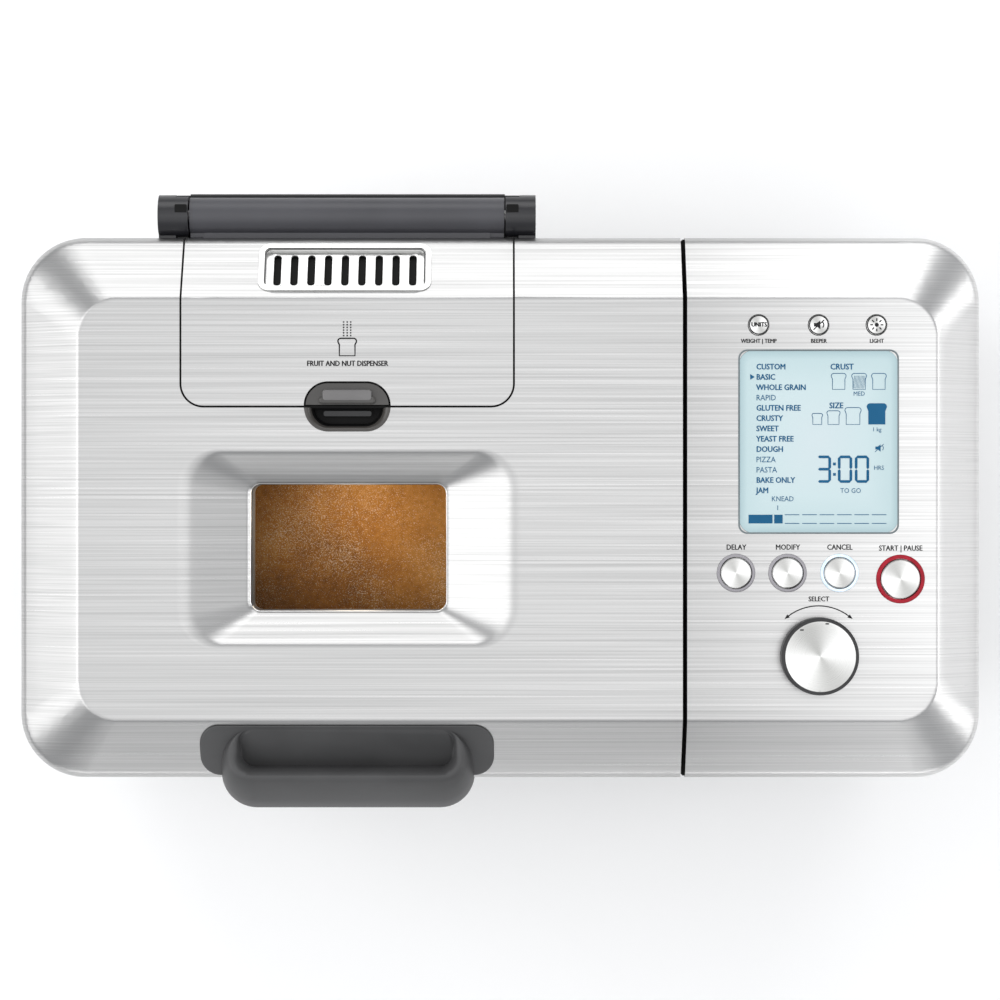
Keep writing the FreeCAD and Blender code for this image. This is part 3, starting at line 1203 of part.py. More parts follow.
belt_high = f"({belt_low} + belt_width)"
belt = cut(belt_outline("belt_outside", "working_gap / 2 + belt_thick", belt_low, belt_high),
           belt_outline("belt_inside", "working_gap / 2", f"{belt_low} - 1", f"{belt_high} + 1"))
node("drive_belt", belt)

coupler_low = "(floor_top + 1)"
wing = box_tool("chamber_x - 14", "chamber_x + 14", "middle_y - 3", "middle_y + 3", coupler_low,
                f"{coupler_low} + 8")
wing_hub = rod_tool("chamber_x", "middle_y", coupler_low, "8", "8")
node("drive_spindle", fuse(spindle, wing, wing_hub))


def pan_outline(sketch, inset, low=False):
    """The pan's outline at its rim, or at its floor."""
    draft = f"pan_draft + {inset}" if low else inset
    half_x, half_y = f"(pan_length / 2 - ({draft}))", f"(pan_width / 2 - ({draft}))"
    return add_rounded(sketch, "chamber_x - " + half_x, "chamber_x + " + half_x, "middle_y - " + half_y,
                       "middle_y + " + half_y, f"pan_round - {inset}")


def pan_form(label, inset, low, high):
    body = new_body(label)
    loft(body, [pan_outline(new_sketch(body, level=low), inset, low=True),
                pan_outline(new_sketch(body, level=high), inset)])
    return body


pan_outer = pan_form("pan_outer", "0", "pan_floor", "pan_top")
pan_inner = pan_form("pan_inner", "pan_wall", "pan_floor + pan_wall", "pan_top + pan_wall")
rim_body = new_body("pan_rolled_rim")
rim_sketch = new_sketch(rim_body, level="pan_top - pan_rim")
pan_outline(rim_sketch, "-pan_rim")
pan_outline(rim_sketch, "0.3")
pad(rim_body, rim_sketch, "pan_rim")
SHAFT_HOUSING = "9"
foot_low = "(floor_top + 3)"
foot = turned("pan_foot", "chamber_x", "middle_y",
              [(f"{SOCKET_RADIUS} - 4", foot_low), (f"{SOCKET_RADIUS} - working_gap", foot_low),
               (f"{SOCKET_RADIUS} - working_gap", "pan_floor + 0.5"), (f"{SOCKET_RADIUS} - 4",
                                                                       "pan_floor + 0.5")])
bearing = turned("pan_bearing", "chamber_x", "middle_y",
                 [("0", "pan_floor - 1"), (SHAFT_HOUSING, "pan_floor - 1"),
                  (SHAFT_HOUSING, "pan_floor + pan_wall + 1"),
                  ("0", "pan_floor + pan_wall + 1")])
BAIL_X = "(pan_length / 2 + 6.5)"
ears = [rod_tool("chamber_x - pan_length / 2 - 3", "middle_y", "bail_level", "6", "6", "x"),
        rod_tool("chamber_x + pan_length / 2 - 3", "middle_y", "bail_level", "6", "6", "x")]
BAIL_PIN = "(bail_radius - 0.4)"
bail_bore = [rod_tool(f"chamber_x - pan_length / 2 - 6", "middle_y", "bail_level",
                      f"{BAIL_PIN} + pin_gap", "5", "x"),
             rod_tool(f"chamber_x + pan_length / 2 + 1", "middle_y", "bail_level",
                      f"{BAIL_PIN} + pin_gap", "5", "x")]
shaft_bore = rod_tool("chamber_x", "middle_y", "floor_top", "shaft_radius + pin_gap", "60")
pan = cut(fuse(pan_outer, rim_body, *ears), pan_inner)
node("bread_pan", cut(fuse(pan, foot, bearing), shaft_bore, *bail_bore))

bail = new_body("pan_handle_wire")
bail_path = new_sketch(bail, level="bail_level", across="chamber_x", up="middle_y")
bend = 14
half, reach = number(BAIL_X), number("bail_reach")
bail_path.addGeometry(Part.LineSegment(Vector(-half, 0, 0), Vector(-half, -reach + bend, 0)), False)
corner = Part.Circle(Vector(-half + bend, -reach + bend, 0), Vector(0, 0, 1), bend)
bail_path.addGeometry(Part.ArcOfCircle(corner, math.pi, 1.5 * math.pi), False)
bail_path.addGeometry(Part.LineSegment(Vector(-half + bend, -reach, 0), Vector(half - bend, -reach, 0)),
                      False)
corner = Part.Circle(Vector(half - bend, -reach + bend, 0), Vector(0, 0, 1), bend)
bail_path.addGeometry(Part.ArcOfCircle(corner, 1.5 * math.pi, 2 * math.pi), False)
bail_path.addGeometry(Part.LineSegment(Vector(half, -reach + bend, 0), Vector(half, 0, 0)), False)
rule = Sketcher.Constraint
for first, end, second, start in ((0, 2, 1, 1), (1, 2, 2, 1), (2, 2, 3, 1), (3, 2, 4, 1)):
    bail_path.addConstraint(rule("Tangent", first, end, second, start))
for k, kind in ((0, "Vertical"), (2, "Horizontal"), (4, "Vertical")):
    bail_path.addConstraint(rule(kind, k))
bail_path.addConstraint(rule("Equal", 1, 3))
dimension(bail_path, rule("Radius", 1, bend), "bend", str(bend))
dimension(bail_path, rule("DistanceX", -1, 1, 0, 1, -half), "left", "-" + BAIL_X)
dimension(bail_path, rule("DistanceX", -1, 1, 4, 2, half), "right", BAIL_X)
dimension(bail_path, rule("DistanceY", -1, 1, 2, 1, -reach), "reach", "-bail_reach")
bail_path.addConstraint(rule("PointOnObject", 0, 1, -1))
bail_path.addConstraint(rule("PointOnObject", 4, 2, -1))
bail_section = new_sketch(bail, "XZ", level="-middle_y", across="chamber_x", up="bail_level")
add_circle(bail_section, "-" + BAIL_X, "0", "bail_radius")
bail_pipe = bail.newObject("PartDesign::AdditivePipe", "Pipe")
bail_pipe.Profile = bail_section
bail_pipe.Spine = bail_path
doc.recompute()
bail_pins = []
for side in (-1, 1):
    eye = rod_tool(f"chamber_x + {side} * {BAIL_X} - bail_radius - 0.4", "middle_y", "bail_level",
                   "bail_radius + 1.2",
                   "2 * bail_radius + 0.8", "x")
    start = f"chamber_x - {BAIL_X}" if side < 0 else f"chamber_x + {BAIL_X} - 5"
    bail_pins += [eye, rod_tool(start, "middle_y", "bail_level", BAIL_PIN, "5", "x")]
node("pan_handle", fuse(bail, *bail_pins))

hub_low = "(pan_floor + pan_wall + 1 + working_gap)"
HUB_RADIUS = "13"
shaft = turned("pan_shaft", "chamber_x", "middle_y",
               [("0", f"{coupler_low} + 8.6"), ("shaft_radius", f"{coupler_low} + 8.6"),
                ("shaft_radius", f"{hub_low} + 20"), ("0", f"{hub_low} + 20")])
prong_disc = turned("prong_disc", "chamber_x", "middle_y",
                    [("shaft_radius", f"{coupler_low} + 8.6"), ("14", f"{coupler_low} + 8.6"),
                     ("14", f"{coupler_low} + 10.6"), ("shaft_radius", f"{coupler_low} + 10.6")])
prongs = [box_tool("chamber_x - 3", "chamber_x + 3", f"middle_y + {low}", f"middle_y + {high}",
                   f"{coupler_low} + 2",
                   f"{coupler_low} + 9") for low, high in ((8.6, 13), (-13, -8.6))]
node("pan_shaft", fuse(shaft, prong_disc, *prongs))

fold_z = "(hub_low_level + 8)"
PLACES["hub_low_level"] = hub_low
PIVOT_RADIUS = "1.8"
hub = turned("paddle_hub_form", "chamber_x", "middle_y",
             [("shaft_radius", hub_low), (HUB_RADIUS, hub_low), (f"{HUB_RADIUS} - 2", f"{hub_low} + 21"),
              (f"{HUB_RADIUS} - 4", f"{hub_low} + 23"), ("0", f"{hub_low} + 23"), ("0",
                                                                                   f"{hub_low} + 20"),
              ("shaft_radius", f"{hub_low} + 20")])
pivot = rod_tool(f"chamber_x + {HUB_RADIUS} - 4", "middle_y", fold_z, PIVOT_RADIUS,
                 f"blade_reach - {HUB_RADIUS} + 5", "x")
node("paddle_hub", fuse(hub, pivot))
BLADE_ROOT = f"({HUB_RADIUS} + 1)"
blade_body = new_body("blade_plate")
blade_sketch = new_sketch(blade_body, level=f"{fold_z} - blade_thick / 2", across="chamber_x",
                          up="middle_y")
add_rounded(blade_sketch, BLADE_ROOT, "blade_reach", "-26", "1", "8")
pad(blade_body, blade_sketch, "blade_thick")
boss = rod_tool(f"chamber_x + {BLADE_ROOT}", "middle_y", fold_z, "3.6", f"blade_reach - {BLADE_ROOT}",
                "x")
blade_bore = rod_tool("chamber_x", "middle_y", fold_z, f"{PIVOT_RADIUS} + pin_gap", "blade_reach + 5",
                      "x")
node("kneading_blade", cut(fuse(blade_body, boss), blade_bore))

supply = prism("supply_board", "panel_middle - 45", "panel_middle + 45", "housing_rear - 14",
               "housing_rear - 14 + board_thick",
               "chassis_top + 10", "chassis_top + 110")
choke = [box_tool("panel_middle - 30", "panel_middle - 8", "housing_rear - 34", "housing_rear - 14",
                  "chassis_top + 20",
                  "chassis_top + 42"),
         rod_tool("panel_middle + 15", "housing_rear - 44", "chassis_top + 40", "9", "30", "y"),
         box_tool("panel_middle - 30", "panel_middle + 10", "housing_rear - 30", "housing_rear - 14",
                  "chassis_top + 60", "chassis_top + 76")]
standoffs = [rod_tool(f"panel_middle + {side} * 40", "housing_rear - 14 + board_thick", z, "3",
                      "14 - board_thick - skin", "y") for side in (-1, 1) for z in ("chassis_top + 15",
                                                                                    "chassis_top + 105")]
node("power_board", fuse(supply, *choke, *standoffs))


# ---- check and write ---------------------------------------------------------------------------------


def write_parts():
    doc.recompute()
    failed = [o.Label for o in doc.Objects if "Invalid" in o.State or "Error" in o.State]
    if failed:
        raise RuntimeError("failed: " + ", ".join(failed))
    for name, piece in NODES.items():
        if piece.Shape.isNull() or not piece.Shape.isValid() or not piece.Shape.Solids:
            raise RuntimeError(name + " has no valid shape")
    os.makedirs("parts", exist_ok=True)
    for name, piece in NODES.items():
        piece.Shape.exportStep(f"parts/{name}.step")


write_parts()
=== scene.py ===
import json
import math

import bmesh
import bpy
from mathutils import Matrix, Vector

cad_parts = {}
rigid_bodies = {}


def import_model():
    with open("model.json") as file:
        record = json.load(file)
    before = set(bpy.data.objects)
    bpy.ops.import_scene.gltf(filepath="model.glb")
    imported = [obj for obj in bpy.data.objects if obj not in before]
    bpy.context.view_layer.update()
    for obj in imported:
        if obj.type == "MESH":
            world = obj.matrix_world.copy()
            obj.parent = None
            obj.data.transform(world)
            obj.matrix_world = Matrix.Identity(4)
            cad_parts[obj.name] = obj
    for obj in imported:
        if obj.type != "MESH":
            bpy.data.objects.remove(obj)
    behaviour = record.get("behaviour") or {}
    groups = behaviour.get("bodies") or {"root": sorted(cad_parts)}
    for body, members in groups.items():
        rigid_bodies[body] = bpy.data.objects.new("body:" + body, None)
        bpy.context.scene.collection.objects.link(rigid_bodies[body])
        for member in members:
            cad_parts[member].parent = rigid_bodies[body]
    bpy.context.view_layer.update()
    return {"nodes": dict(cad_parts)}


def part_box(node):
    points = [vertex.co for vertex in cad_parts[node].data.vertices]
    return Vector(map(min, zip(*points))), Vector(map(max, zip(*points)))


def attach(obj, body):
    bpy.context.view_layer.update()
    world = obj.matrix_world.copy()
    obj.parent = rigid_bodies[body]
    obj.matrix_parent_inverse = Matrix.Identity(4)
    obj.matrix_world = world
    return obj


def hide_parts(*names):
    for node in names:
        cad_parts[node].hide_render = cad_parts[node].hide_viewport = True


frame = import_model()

mm = 0.001

# places read from the frame
lensLow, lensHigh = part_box("display_lens")
dialLow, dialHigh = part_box("dial_knob")
panLow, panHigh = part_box("bread_pan")
coverLow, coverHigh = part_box("panel_cover")
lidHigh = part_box("lid_skin")[1]
flapLidLow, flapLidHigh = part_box("dispenser_lid_skin")
gripLow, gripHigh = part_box("lid_handle")
leverLow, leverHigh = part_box("latch_lever")
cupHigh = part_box("latch_cup")[1]
ventLow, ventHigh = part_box("vent_grille")
topZ = coverHigh.z  # the flat of the pressed top
panelX = (lensLow.x + lensHigh.x) / 2
dialX, dialY = (dialLow.x + dialHigh.x) / 2, (dialLow.y + dialHigh.y) / 2
print("frame read: top at", round(topZ, 4))


# small helpers
def pickOnly(obj):
    bpy.ops.object.select_all(action="DESELECT")
    obj.select_set(True)
    bpy.context.view_layer.objects.active = obj


def settle(obj):  # place, turn and size go into the mesh
    pickOnly(obj)
    bpy.ops.object.transform_apply(location=True, rotation=True, scale=True)
    return obj


def named(name):
    obj = bpy.context.active_object
    obj.name = name
    obj.data.name = name
    return obj


def selectIn(obj, kind, test):  # edit mode, with only what passes the test selected
    pickOnly(obj)
    bpy.ops.object.mode_set(mode="EDIT")
    bpy.ops.mesh.select_mode(type={"verts": "VERT", "edges": "EDGE", "faces": "FACE"}[kind])
    bpy.ops.mesh.select_all(action="DESELECT")
    bm = bmesh.from_edit_mesh(obj.data)
    found = 0
    for part in getattr(bm, kind):
        if test(part):
            part.select_set(True)
            found += 1
    bm.select_flush_mode()
    bmesh.update_edit_mesh(obj.data)
    return found


def leaveEdit():
    bpy.ops.object.mode_set(mode="OBJECT")


def edgeMiddle(edge):
    return (edge.verts[0].co + edge.verts[1].co) / 2


def edgeAlong(edge):
    return (edge.verts[1].co - edge.verts[0].co).normalized()


def isUpright(edge):
    return abs(edgeAlong(edge).z) > 0.99


def middleOf(nodeName):
    low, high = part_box(nodeName)
    return (low.x + high.x) / 2, (low.y + high.y) / 2


def withModifier(obj, kind, **settings):  # the modifier is set and applied at once
    modifier = obj.modifiers.new(kind.lower(), kind)
    for key, value in settings.items():
        setattr(modifier, key, value)
    pickOnly(obj)
    bpy.ops.object.modifier_apply(modifier=modifier.name)
    return obj


def smooth(obj, angle=40):
    pickOnly(obj)
    bpy.ops.object.shade_smooth_by_angle(angle=math.radians(angle))
    return obj


def outward(obj):
    selectIn(obj, "faces", lambda face: True)
    bpy.ops.mesh.remove_doubles(threshold=1e-6)
    bpy.ops.mesh.normals_make_consistent(inside=False)
    leaveEdit()
    return obj


def bevelWhere(obj, test, width, segments=3):
    if selectIn(obj, "edges", test):
        bpy.ops.mesh.bevel(offset=width, offset_type="OFFSET", segments=segments, affect="EDGES",
                           clamp_overlap=True)
    leaveEdit()
    return obj


def block(name, low, high):
    low, high = Vector(low), Vector(high)
    bpy.ops.object.select_all(action="DESELECT")
    bpy.ops.mesh.primitive_cube_add(size=1, location=(low + high) / 2, scale=high - low)
    return settle(named(name))


def disc(name, centre, radius, height, sides):
    bpy.ops.object.select_all(action="DESELECT")
    bpy.ops.mesh.primitive_cylinder_add(vertices=sides, radius=radius, depth=height, location=centre)
    return settle(named(name))


def joined(name, pieces):
    bpy.ops.object.select_all(action="DESELECT")
    for piece in pieces:
        piece.select_set(True)
    bpy.context.view_layer.objects.active = pieces[0]
    bpy.ops.object.join()
    return named(name)


def copyOf(obj, name, shift):
    made = obj.copy()
    made.data = obj.data.copy()
    made.name = name
    bpy.context.scene.collection.objects.link(made)
    made.location = shift
    return settle(made)


def lineMesh(name, points, closed, **settings):  # a curve through points, turned into a mesh
    curve = bpy.data.curves.new(name, "CURVE")
    for key, value in settings.items():
        setattr(curve, key, value)
    spline = curve.splines.new("POLY")
    spline.points.add(len(points) - 1)
    for point, place in zip(spline.points, points):
        point.co = (*place, 1)
    spline.use_cyclic_u = closed
    obj = bpy.data.objects.new(name, curve)
    bpy.context.scene.collection.objects.link(obj)
    pickOnly(obj)
    bpy.ops.object.convert(target="MESH")
    return bpy.context.active_object


def ringPoints(edge, steps):  # a rounded rectangle, from its front left corner
    left, right, front, rear, corner = edge
    corners = [(left + corner, front + corner, 180), (right - corner, front + corner, 270),
               (right - corner, rear - corner, 0), (left + corner, rear - corner, 90)]
    points = []
    for x, y, start in corners:
        for k in range(steps + 1):
            turn = math.radians(start + 90 * k / steps)
            points.append((x + corner * math.cos(turn), y + corner * math.sin(turn)))
    return points


def ringSkin(name, rings, steps=10, closeFirst=True, closeLast=True):
    # each ring is (edge, height), and a height may be a function of x and y
    bm = bmesh.new()
    rows = []
    for edge, height in rings:
        level = height if callable(height) else (lambda x, y, flat=height: flat)
        rows.append([bm.verts.new((x, y, level(x, y))) for x, y in ringPoints(edge, steps)])
    for lower, upper in zip(rows, rows[1:]):
        for k in range(len(lower)):
            following = (k + 1) % len(lower)
            bm.faces.new((lower[k], lower[following], upper[following], upper[k]))
    if closeFirst:
        bm.faces.new(rows[0][::-1])
    if closeLast:
        bm.faces.new(rows[-1])
    mesh = bpy.data.meshes.new(name)
    bm.to_mesh(mesh)
    bm.free()
    obj = bpy.data.objects.new(name, mesh)
    bpy.context.scene.collection.objects.link(obj)
    return obj


def grown(edge, by):
    left, right, front, rear, corner = edge
    return left - by, right + by, front - by, rear + by, max(corner + by, 0.0001)


def finishPiece(obj, material, body, stands=()):
    obj.data.materials.clear()
    obj.data.materials.append(material)
    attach(obj, body)
    if stands:
        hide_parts(*stands)
    return obj


def smoothCopy(nodeName, name, material, body, angle=32, softEdge=0.0):
    source = frame["nodes"][nodeName]
    obj = source.copy()
    obj.data = source.data.copy()
    obj.name = name
    for key in list(obj.keys()):
        del obj[key]
    obj.parent = None
    bpy.context.scene.collection.objects.link(obj)
    selectIn(obj, "faces", lambda face: True)
    bpy.ops.mesh.remove_doubles(threshold=2e-6)
    bpy.ops.mesh.customdata_custom_splitnormals_clear()
    leaveEdit()
    if softEdge:
        withModifier(obj, "BEVEL", width=softEdge, segments=2, limit_method="ANGLE",
                     angle_limit=math.radians(50), harden_normals=False)
    smooth(obj, angle)
    withModifier(obj, "WEIGHTED_NORMAL", keep_sharp=True, weight=80)
    return finishPiece(obj, material, body, (nodeName,))


# materials
def startMaterial(name, colour, roughness, metallic=0.0):
    material = bpy.data.materials.new(name)
    material.use_nodes = True
    tree = material.node_tree
    shader = tree.nodes["Principled BSDF"]
    shader.inputs["Base Color"].default_value = (*colour, 1)
    shader.inputs["Roughness"].default_value = roughness
    shader.inputs["Metallic"].default_value = metallic
    place = tree.nodes.new("ShaderNodeTexCoord")
    return material, tree, shader, place.outputs["Object"]


def grain(tree, where, scale, detail=3.0, rough=0.5):
    mapping = tree.nodes.new("ShaderNodeMapping")
    mapping.inputs["Scale"].default_value = scale
    noise = tree.nodes.new("ShaderNodeTexNoise")
    noise.inputs["Scale"].default_value = 1.0
    noise.inputs["Detail"].default_value = detail
    noise.inputs["Roughness"].default_value = rough
    tree.links.new(where, mapping.inputs["Vector"])
    tree.links.new(mapping.outputs["Vector"], noise.inputs["Vector"])
    return noise.outputs["Fac"]


def spread(tree, value, stops):
    ramp = tree.nodes.new("ShaderNodeValToRGB")
    while len(ramp.color_ramp.elements) < len(stops):
        ramp.color_ramp.elements.new(0.5)
    for element, (position, colour) in zip(ramp.color_ramp.elements, stops):
        element.position = position
        element.color = (*colour, 1) if len(colour) == 3 else colour
    tree.links.new(value, ramp.inputs["Fac"])
    return ramp.outputs["Color"]


def between(tree, value, low, high, fromLow=0.3, fromHigh=0.7):
    mapRange = tree.nodes.new("ShaderNodeMapRange")
    mapRange.inputs["From Min"].default_value = fromLow
    mapRange.inputs["From Max"].default_value = fromHigh
    mapRange.inputs["To Min"].default_value = low
    mapRange.inputs["To Max"].default_value = high
    tree.links.new(value, mapRange.inputs["Value"])
    return mapRange.outputs["Result"]


def addUp(tree, first, second, share=0.5):
    mix = tree.nodes.new("ShaderNodeMix")
    mix.data_type = "FLOAT"
    mix.inputs["Factor"].default_value = share
    tree.links.new(first, mix.inputs["A"])
    tree.links.new(second, mix.inputs["B"])
    return mix.outputs["Result"]


def bumpFrom(tree, shader, height, strength, distance):
    bump = tree.nodes.new("ShaderNodeBump")
    bump.inputs["Strength"].default_value = strength
    bump.inputs["Distance"].default_value = distance
    tree.links.new(height, bump.inputs["Height"])
    tree.links.new(bump.outputs["Normal"], shader.inputs["Normal"])


def brushedMetal(name, dark, light, rough=(0.26, 0.38), along=(14, 1500, 1500), coarse=(5, 260, 260),
                 lift=0.12):
    material, tree, shader, where = startMaterial(name, light, rough[0], 1.0)
    fine = grain(tree, where, along, 2.0)
    wide = grain(tree, where, coarse, 2.0)
    streak = addUp(tree, fine, wide, 0.45)
    tree.links.new(spread(tree, streak, [(0.33, dark), (0.66, light)]), shader.inputs["Base Color"])
    tree.links.new(between(tree, streak, rough[1], rough[0]), shader.inputs["Roughness"])
    bumpFrom(tree, shader, fine, lift, 0.00002)
    return material


def paintLightAlongX(material, left, right, factors):  # paints light and shade into a finish's colour: scales it along X
    tree = material.node_tree
    shader = next(node for node in tree.nodes if node.type == "BSDF_PRINCIPLED")
    link = shader.inputs["Base Color"].links[0]
    source = link.from_socket
    apart = tree.nodes.new("ShaderNodeSeparateXYZ")
    where = tree.nodes.new("ShaderNodeTexCoord")
    tree.links.new(where.outputs["Object"], apart.inputs["Vector"])
    share = between(tree, apart.outputs["X"], factors[0], factors[1], left, right)
    scaled = tree.nodes.new("ShaderNodeVectorMath")
    scaled.operation = "SCALE"
    tree.links.new(source, scaled.inputs[0])
    tree.links.new(share, scaled.inputs["Scale"])
    tree.links.new(scaled.outputs["Vector"], shader.inputs["Base Color"])
    return material


def turnedMetalPaintedSheen(name, centre, dark, light, rough=(0.22, 0.34), rings=40.0):
    material, tree, shader, where = startMaterial(name, light, rough[0], 1.0)
    shift = tree.nodes.new("ShaderNodeVectorMath")
    shift.operation = "SUBTRACT"
    shift.inputs[1].default_value = (centre[0], centre[1], 0)
    tree.links.new(where, shift.inputs[0])
    apart = tree.nodes.new("ShaderNodeSeparateXYZ")
    tree.links.new(shift.outputs["Vector"], apart.inputs["Vector"])
    angle = tree.nodes.new("ShaderNodeMath")
    angle.operation = "ARCTAN2"
    tree.links.new(apart.outputs["Y"], angle.inputs[0])
    tree.links.new(apart.outputs["X"], angle.inputs[1])
    length = tree.nodes.new("ShaderNodeVectorMath")
    length.operation = "LENGTH"
    flat = tree.nodes.new("ShaderNodeCombineXYZ")
    tree.links.new(apart.outputs["X"], flat.inputs["X"])
    tree.links.new(apart.outputs["Y"], flat.inputs["Y"])
    tree.links.new(flat.outputs["Vector"], length.inputs[0])
    fan = tree.nodes.new("ShaderNodeMath")  # painted sheen: two bright and two dark sectors, standing in for the light a spun face reflects
    fan.operation = "MULTIPLY_ADD"
    fan.inputs[1].default_value = 2.0
    fan.inputs[2].default_value = 0.6
    tree.links.new(angle.outputs["Value"], fan.inputs[0])
    wave = tree.nodes.new("ShaderNodeMath")
    wave.operation = "SINE"
    tree.links.new(fan.outputs["Value"], wave.inputs[0])
    paintedSheen = between(tree, wave.outputs["Value"], 0.0, 1.0, -1.0, 1.0)
    groove = tree.nodes.new("ShaderNodeCombineXYZ")
    tree.links.new(length.outputs["Value"], groove.inputs["X"])
    circles = grain(tree, groove.outputs["Vector"], (6000, 1, 1), 2.0)
    # the colour mixes the painted sheen with the turning rings
    look = addUp(tree, paintedSheen, circles, 0.45)
    tree.links.new(spread(tree, look, [(0.15, dark), (0.85, light)]), shader.inputs["Base Color"])
    tree.links.new(between(tree, circles, rough[1], rough[0]), shader.inputs["Roughness"])
    bumpFrom(tree, shader, circles, 0.15, 0.00002)
    return material


def mouldedPlastic(name, dark, light, rough=(0.38, 0.5), size=2600, lift=0.12, cloud=30):
    material, tree, shader, where = startMaterial(name, light, rough[0])
    fine = grain(tree, where, (size, size, size), 2.0)
    wide = grain(tree, where, (cloud, cloud, cloud), 3.0)
    tree.links.new(spread(tree, wide, [(0.3, dark), (0.7, light)]), shader.inputs["Base Color"])
    tree.links.new(between(tree, addUp(tree, fine, wide), rough[0], rough[1]), shader.inputs["Roughness"])
    bumpFrom(tree, shader, fine, lift, 0.00004)
    return material


def dullInk(material, gleam):  # a finish with little mirror shine of its own
    material.node_tree.nodes["Principled BSDF"].inputs["Specular IOR Level"].default_value = gleam
    return material


def clearGlass(name, tint, alpha, rough=0.04):
    material, tree, shader, where = startMaterial(name, tint, rough)
    shader.inputs["Alpha"].default_value = alpha
    shader.inputs["Specular IOR Level"].default_value = 0.2
    smear = grain(tree, where, (40, 40, 40), 4.0)
    tree.links.new(between(tree, smear, rough, rough + 0.05), shader.inputs["Roughness"])
    return material


steelTop = brushedMetal("steelTop", (0.374, 0.373, 0.370), (0.510, 0.508, 0.504), along=(7, 3200, 25),
                        coarse=(5, 1300, 12), lift=0.2)
# painted light: the panel steel is a slightly brighter copy of steelTop, made brighter still towards +X
steelPanelLit = brushedMetal("steelPanelLit", (0.385, 0.384, 0.381), (0.525, 0.523, 0.519),
                          along=(7, 3200, 25), coarse=(5, 1300, 12), lift=0.2)
paintLightAlongX(steelPanelLit, 0.08, 0.19, (0.90, 1.34))
steelSide = brushedMetal("steelSide", (0.44, 0.44, 0.43), (0.56, 0.56, 0.55), rough=(0.3, 0.42),
                         along=(9, 9, 1700), coarse=(4, 4, 420))
steelPlain = brushedMetal("steelPlain", (0.45, 0.45, 0.45), (0.6, 0.6, 0.59), rough=(0.32, 0.45),
                          coarse=(60, 60, 60))
steelVent = brushedMetal("steelVent", (0.66, 0.66, 0.65), (0.78, 0.78, 0.77), rough=(0.3, 0.4))
zincPlate = brushedMetal("zincPlate", (0.42, 0.43, 0.45), (0.62, 0.63, 0.65), rough=(0.25, 0.4),
                         along=(300, 300, 300), coarse=(90, 90, 90))
beadBright = brushedMetal("beadBright", (0.86, 0.86, 0.86), (0.95, 0.95, 0.95))
bushBronze = brushedMetal("bushBronze", (0.35, 0.24, 0.12), (0.5, 0.36, 0.2), along=(500, 500, 500))
gripSoft = mouldedPlastic("gripSoft", (0.042, 0.042, 0.043), (0.058, 0.058, 0.059), rough=(0.5, 0.62),
                          lift=0.2)
hingePlastic = mouldedPlastic("hingePlastic", (0.040, 0.040, 0.046), (0.052, 0.052, 0.060),
                              rough=(0.36, 0.46))
capPlastic = mouldedPlastic("capPlastic", (0.009, 0.009, 0.011), (0.015, 0.015, 0.018), rough=(0.26, 0.34))
blackPlastic = mouldedPlastic("blackPlastic", (0.010, 0.010, 0.011), (0.018, 0.018, 0.019),
                              rough=(0.4, 0.55))
baseBlack = mouldedPlastic("baseBlack", (0.016, 0.016, 0.017), (0.026, 0.026, 0.027), rough=(0.45, 0.6),
                           lift=0.25)
latchPlastic = mouldedPlastic("latchPlastic", (0.040, 0.038, 0.036), (0.056, 0.053, 0.050), rough=(0.3, 0.4))
latchBright = mouldedPlastic("latchBright", (0.11, 0.106, 0.106), (0.16, 0.156, 0.156), rough=(0.3, 0.4))
greyPlastic = mouldedPlastic("greyPlastic", (0.24, 0.23, 0.25), (0.31, 0.30, 0.32), rough=(0.45, 0.6))
sealSilicone = mouldedPlastic("sealSilicone", (0.10, 0.10, 0.10), (0.15, 0.15, 0.15), rough=(0.55, 0.7))
panCoating = mouldedPlastic("panCoating", (0.022, 0.022, 0.024), (0.034, 0.034, 0.036),
                            rough=(0.35, 0.5), size=1400)
motorPaint = mouldedPlastic("motorPaint", (0.03, 0.03, 0.034), (0.045, 0.045, 0.05), rough=(0.3, 0.45))
boardGreen = mouldedPlastic("boardGreen", (0.012, 0.07, 0.03), (0.02, 0.11, 0.045), rough=(0.3, 0.45),
                            size=700)
ventGrey = mouldedPlastic("ventGrey", (0.30, 0.30, 0.30), (0.38, 0.38, 0.38))
ventDark = mouldedPlastic("ventDark", (0.07, 0.07, 0.07), (0.11, 0.11, 0.11))
outlineGrey = mouldedPlastic("outlineGrey", (0.10, 0.13, 0.14), (0.16, 0.19, 0.20))
cupGrey = mouldedPlastic("cupGrey", (0.038, 0.035, 0.032), (0.052, 0.048, 0.044), rough=(0.28, 0.36))
cupBlack = dullInk(mouldedPlastic("cupBlack", (0.004, 0.004, 0.004), (0.007, 0.007, 0.007),
                                  rough=(0.5, 0.6)), 0.12)
screenInk = dullInk(mouldedPlastic("screenInk", (0.010, 0.085, 0.180), (0.016, 0.105, 0.220),
                                   rough=(0.6, 0.7)), 0.1)
panelInk = dullInk(mouldedPlastic("panelInk", (0.012, 0.012, 0.013), (0.020, 0.020, 0.021),
                                  rough=(0.6, 0.7)), 0.15)
windowClear = clearGlass("windowClear", (0.10, 0.11, 0.10), 0.02)
lampClear = clearGlass("lampClear", (0.9, 0.88, 0.8), 0.45, 0.1)
print("materials made")


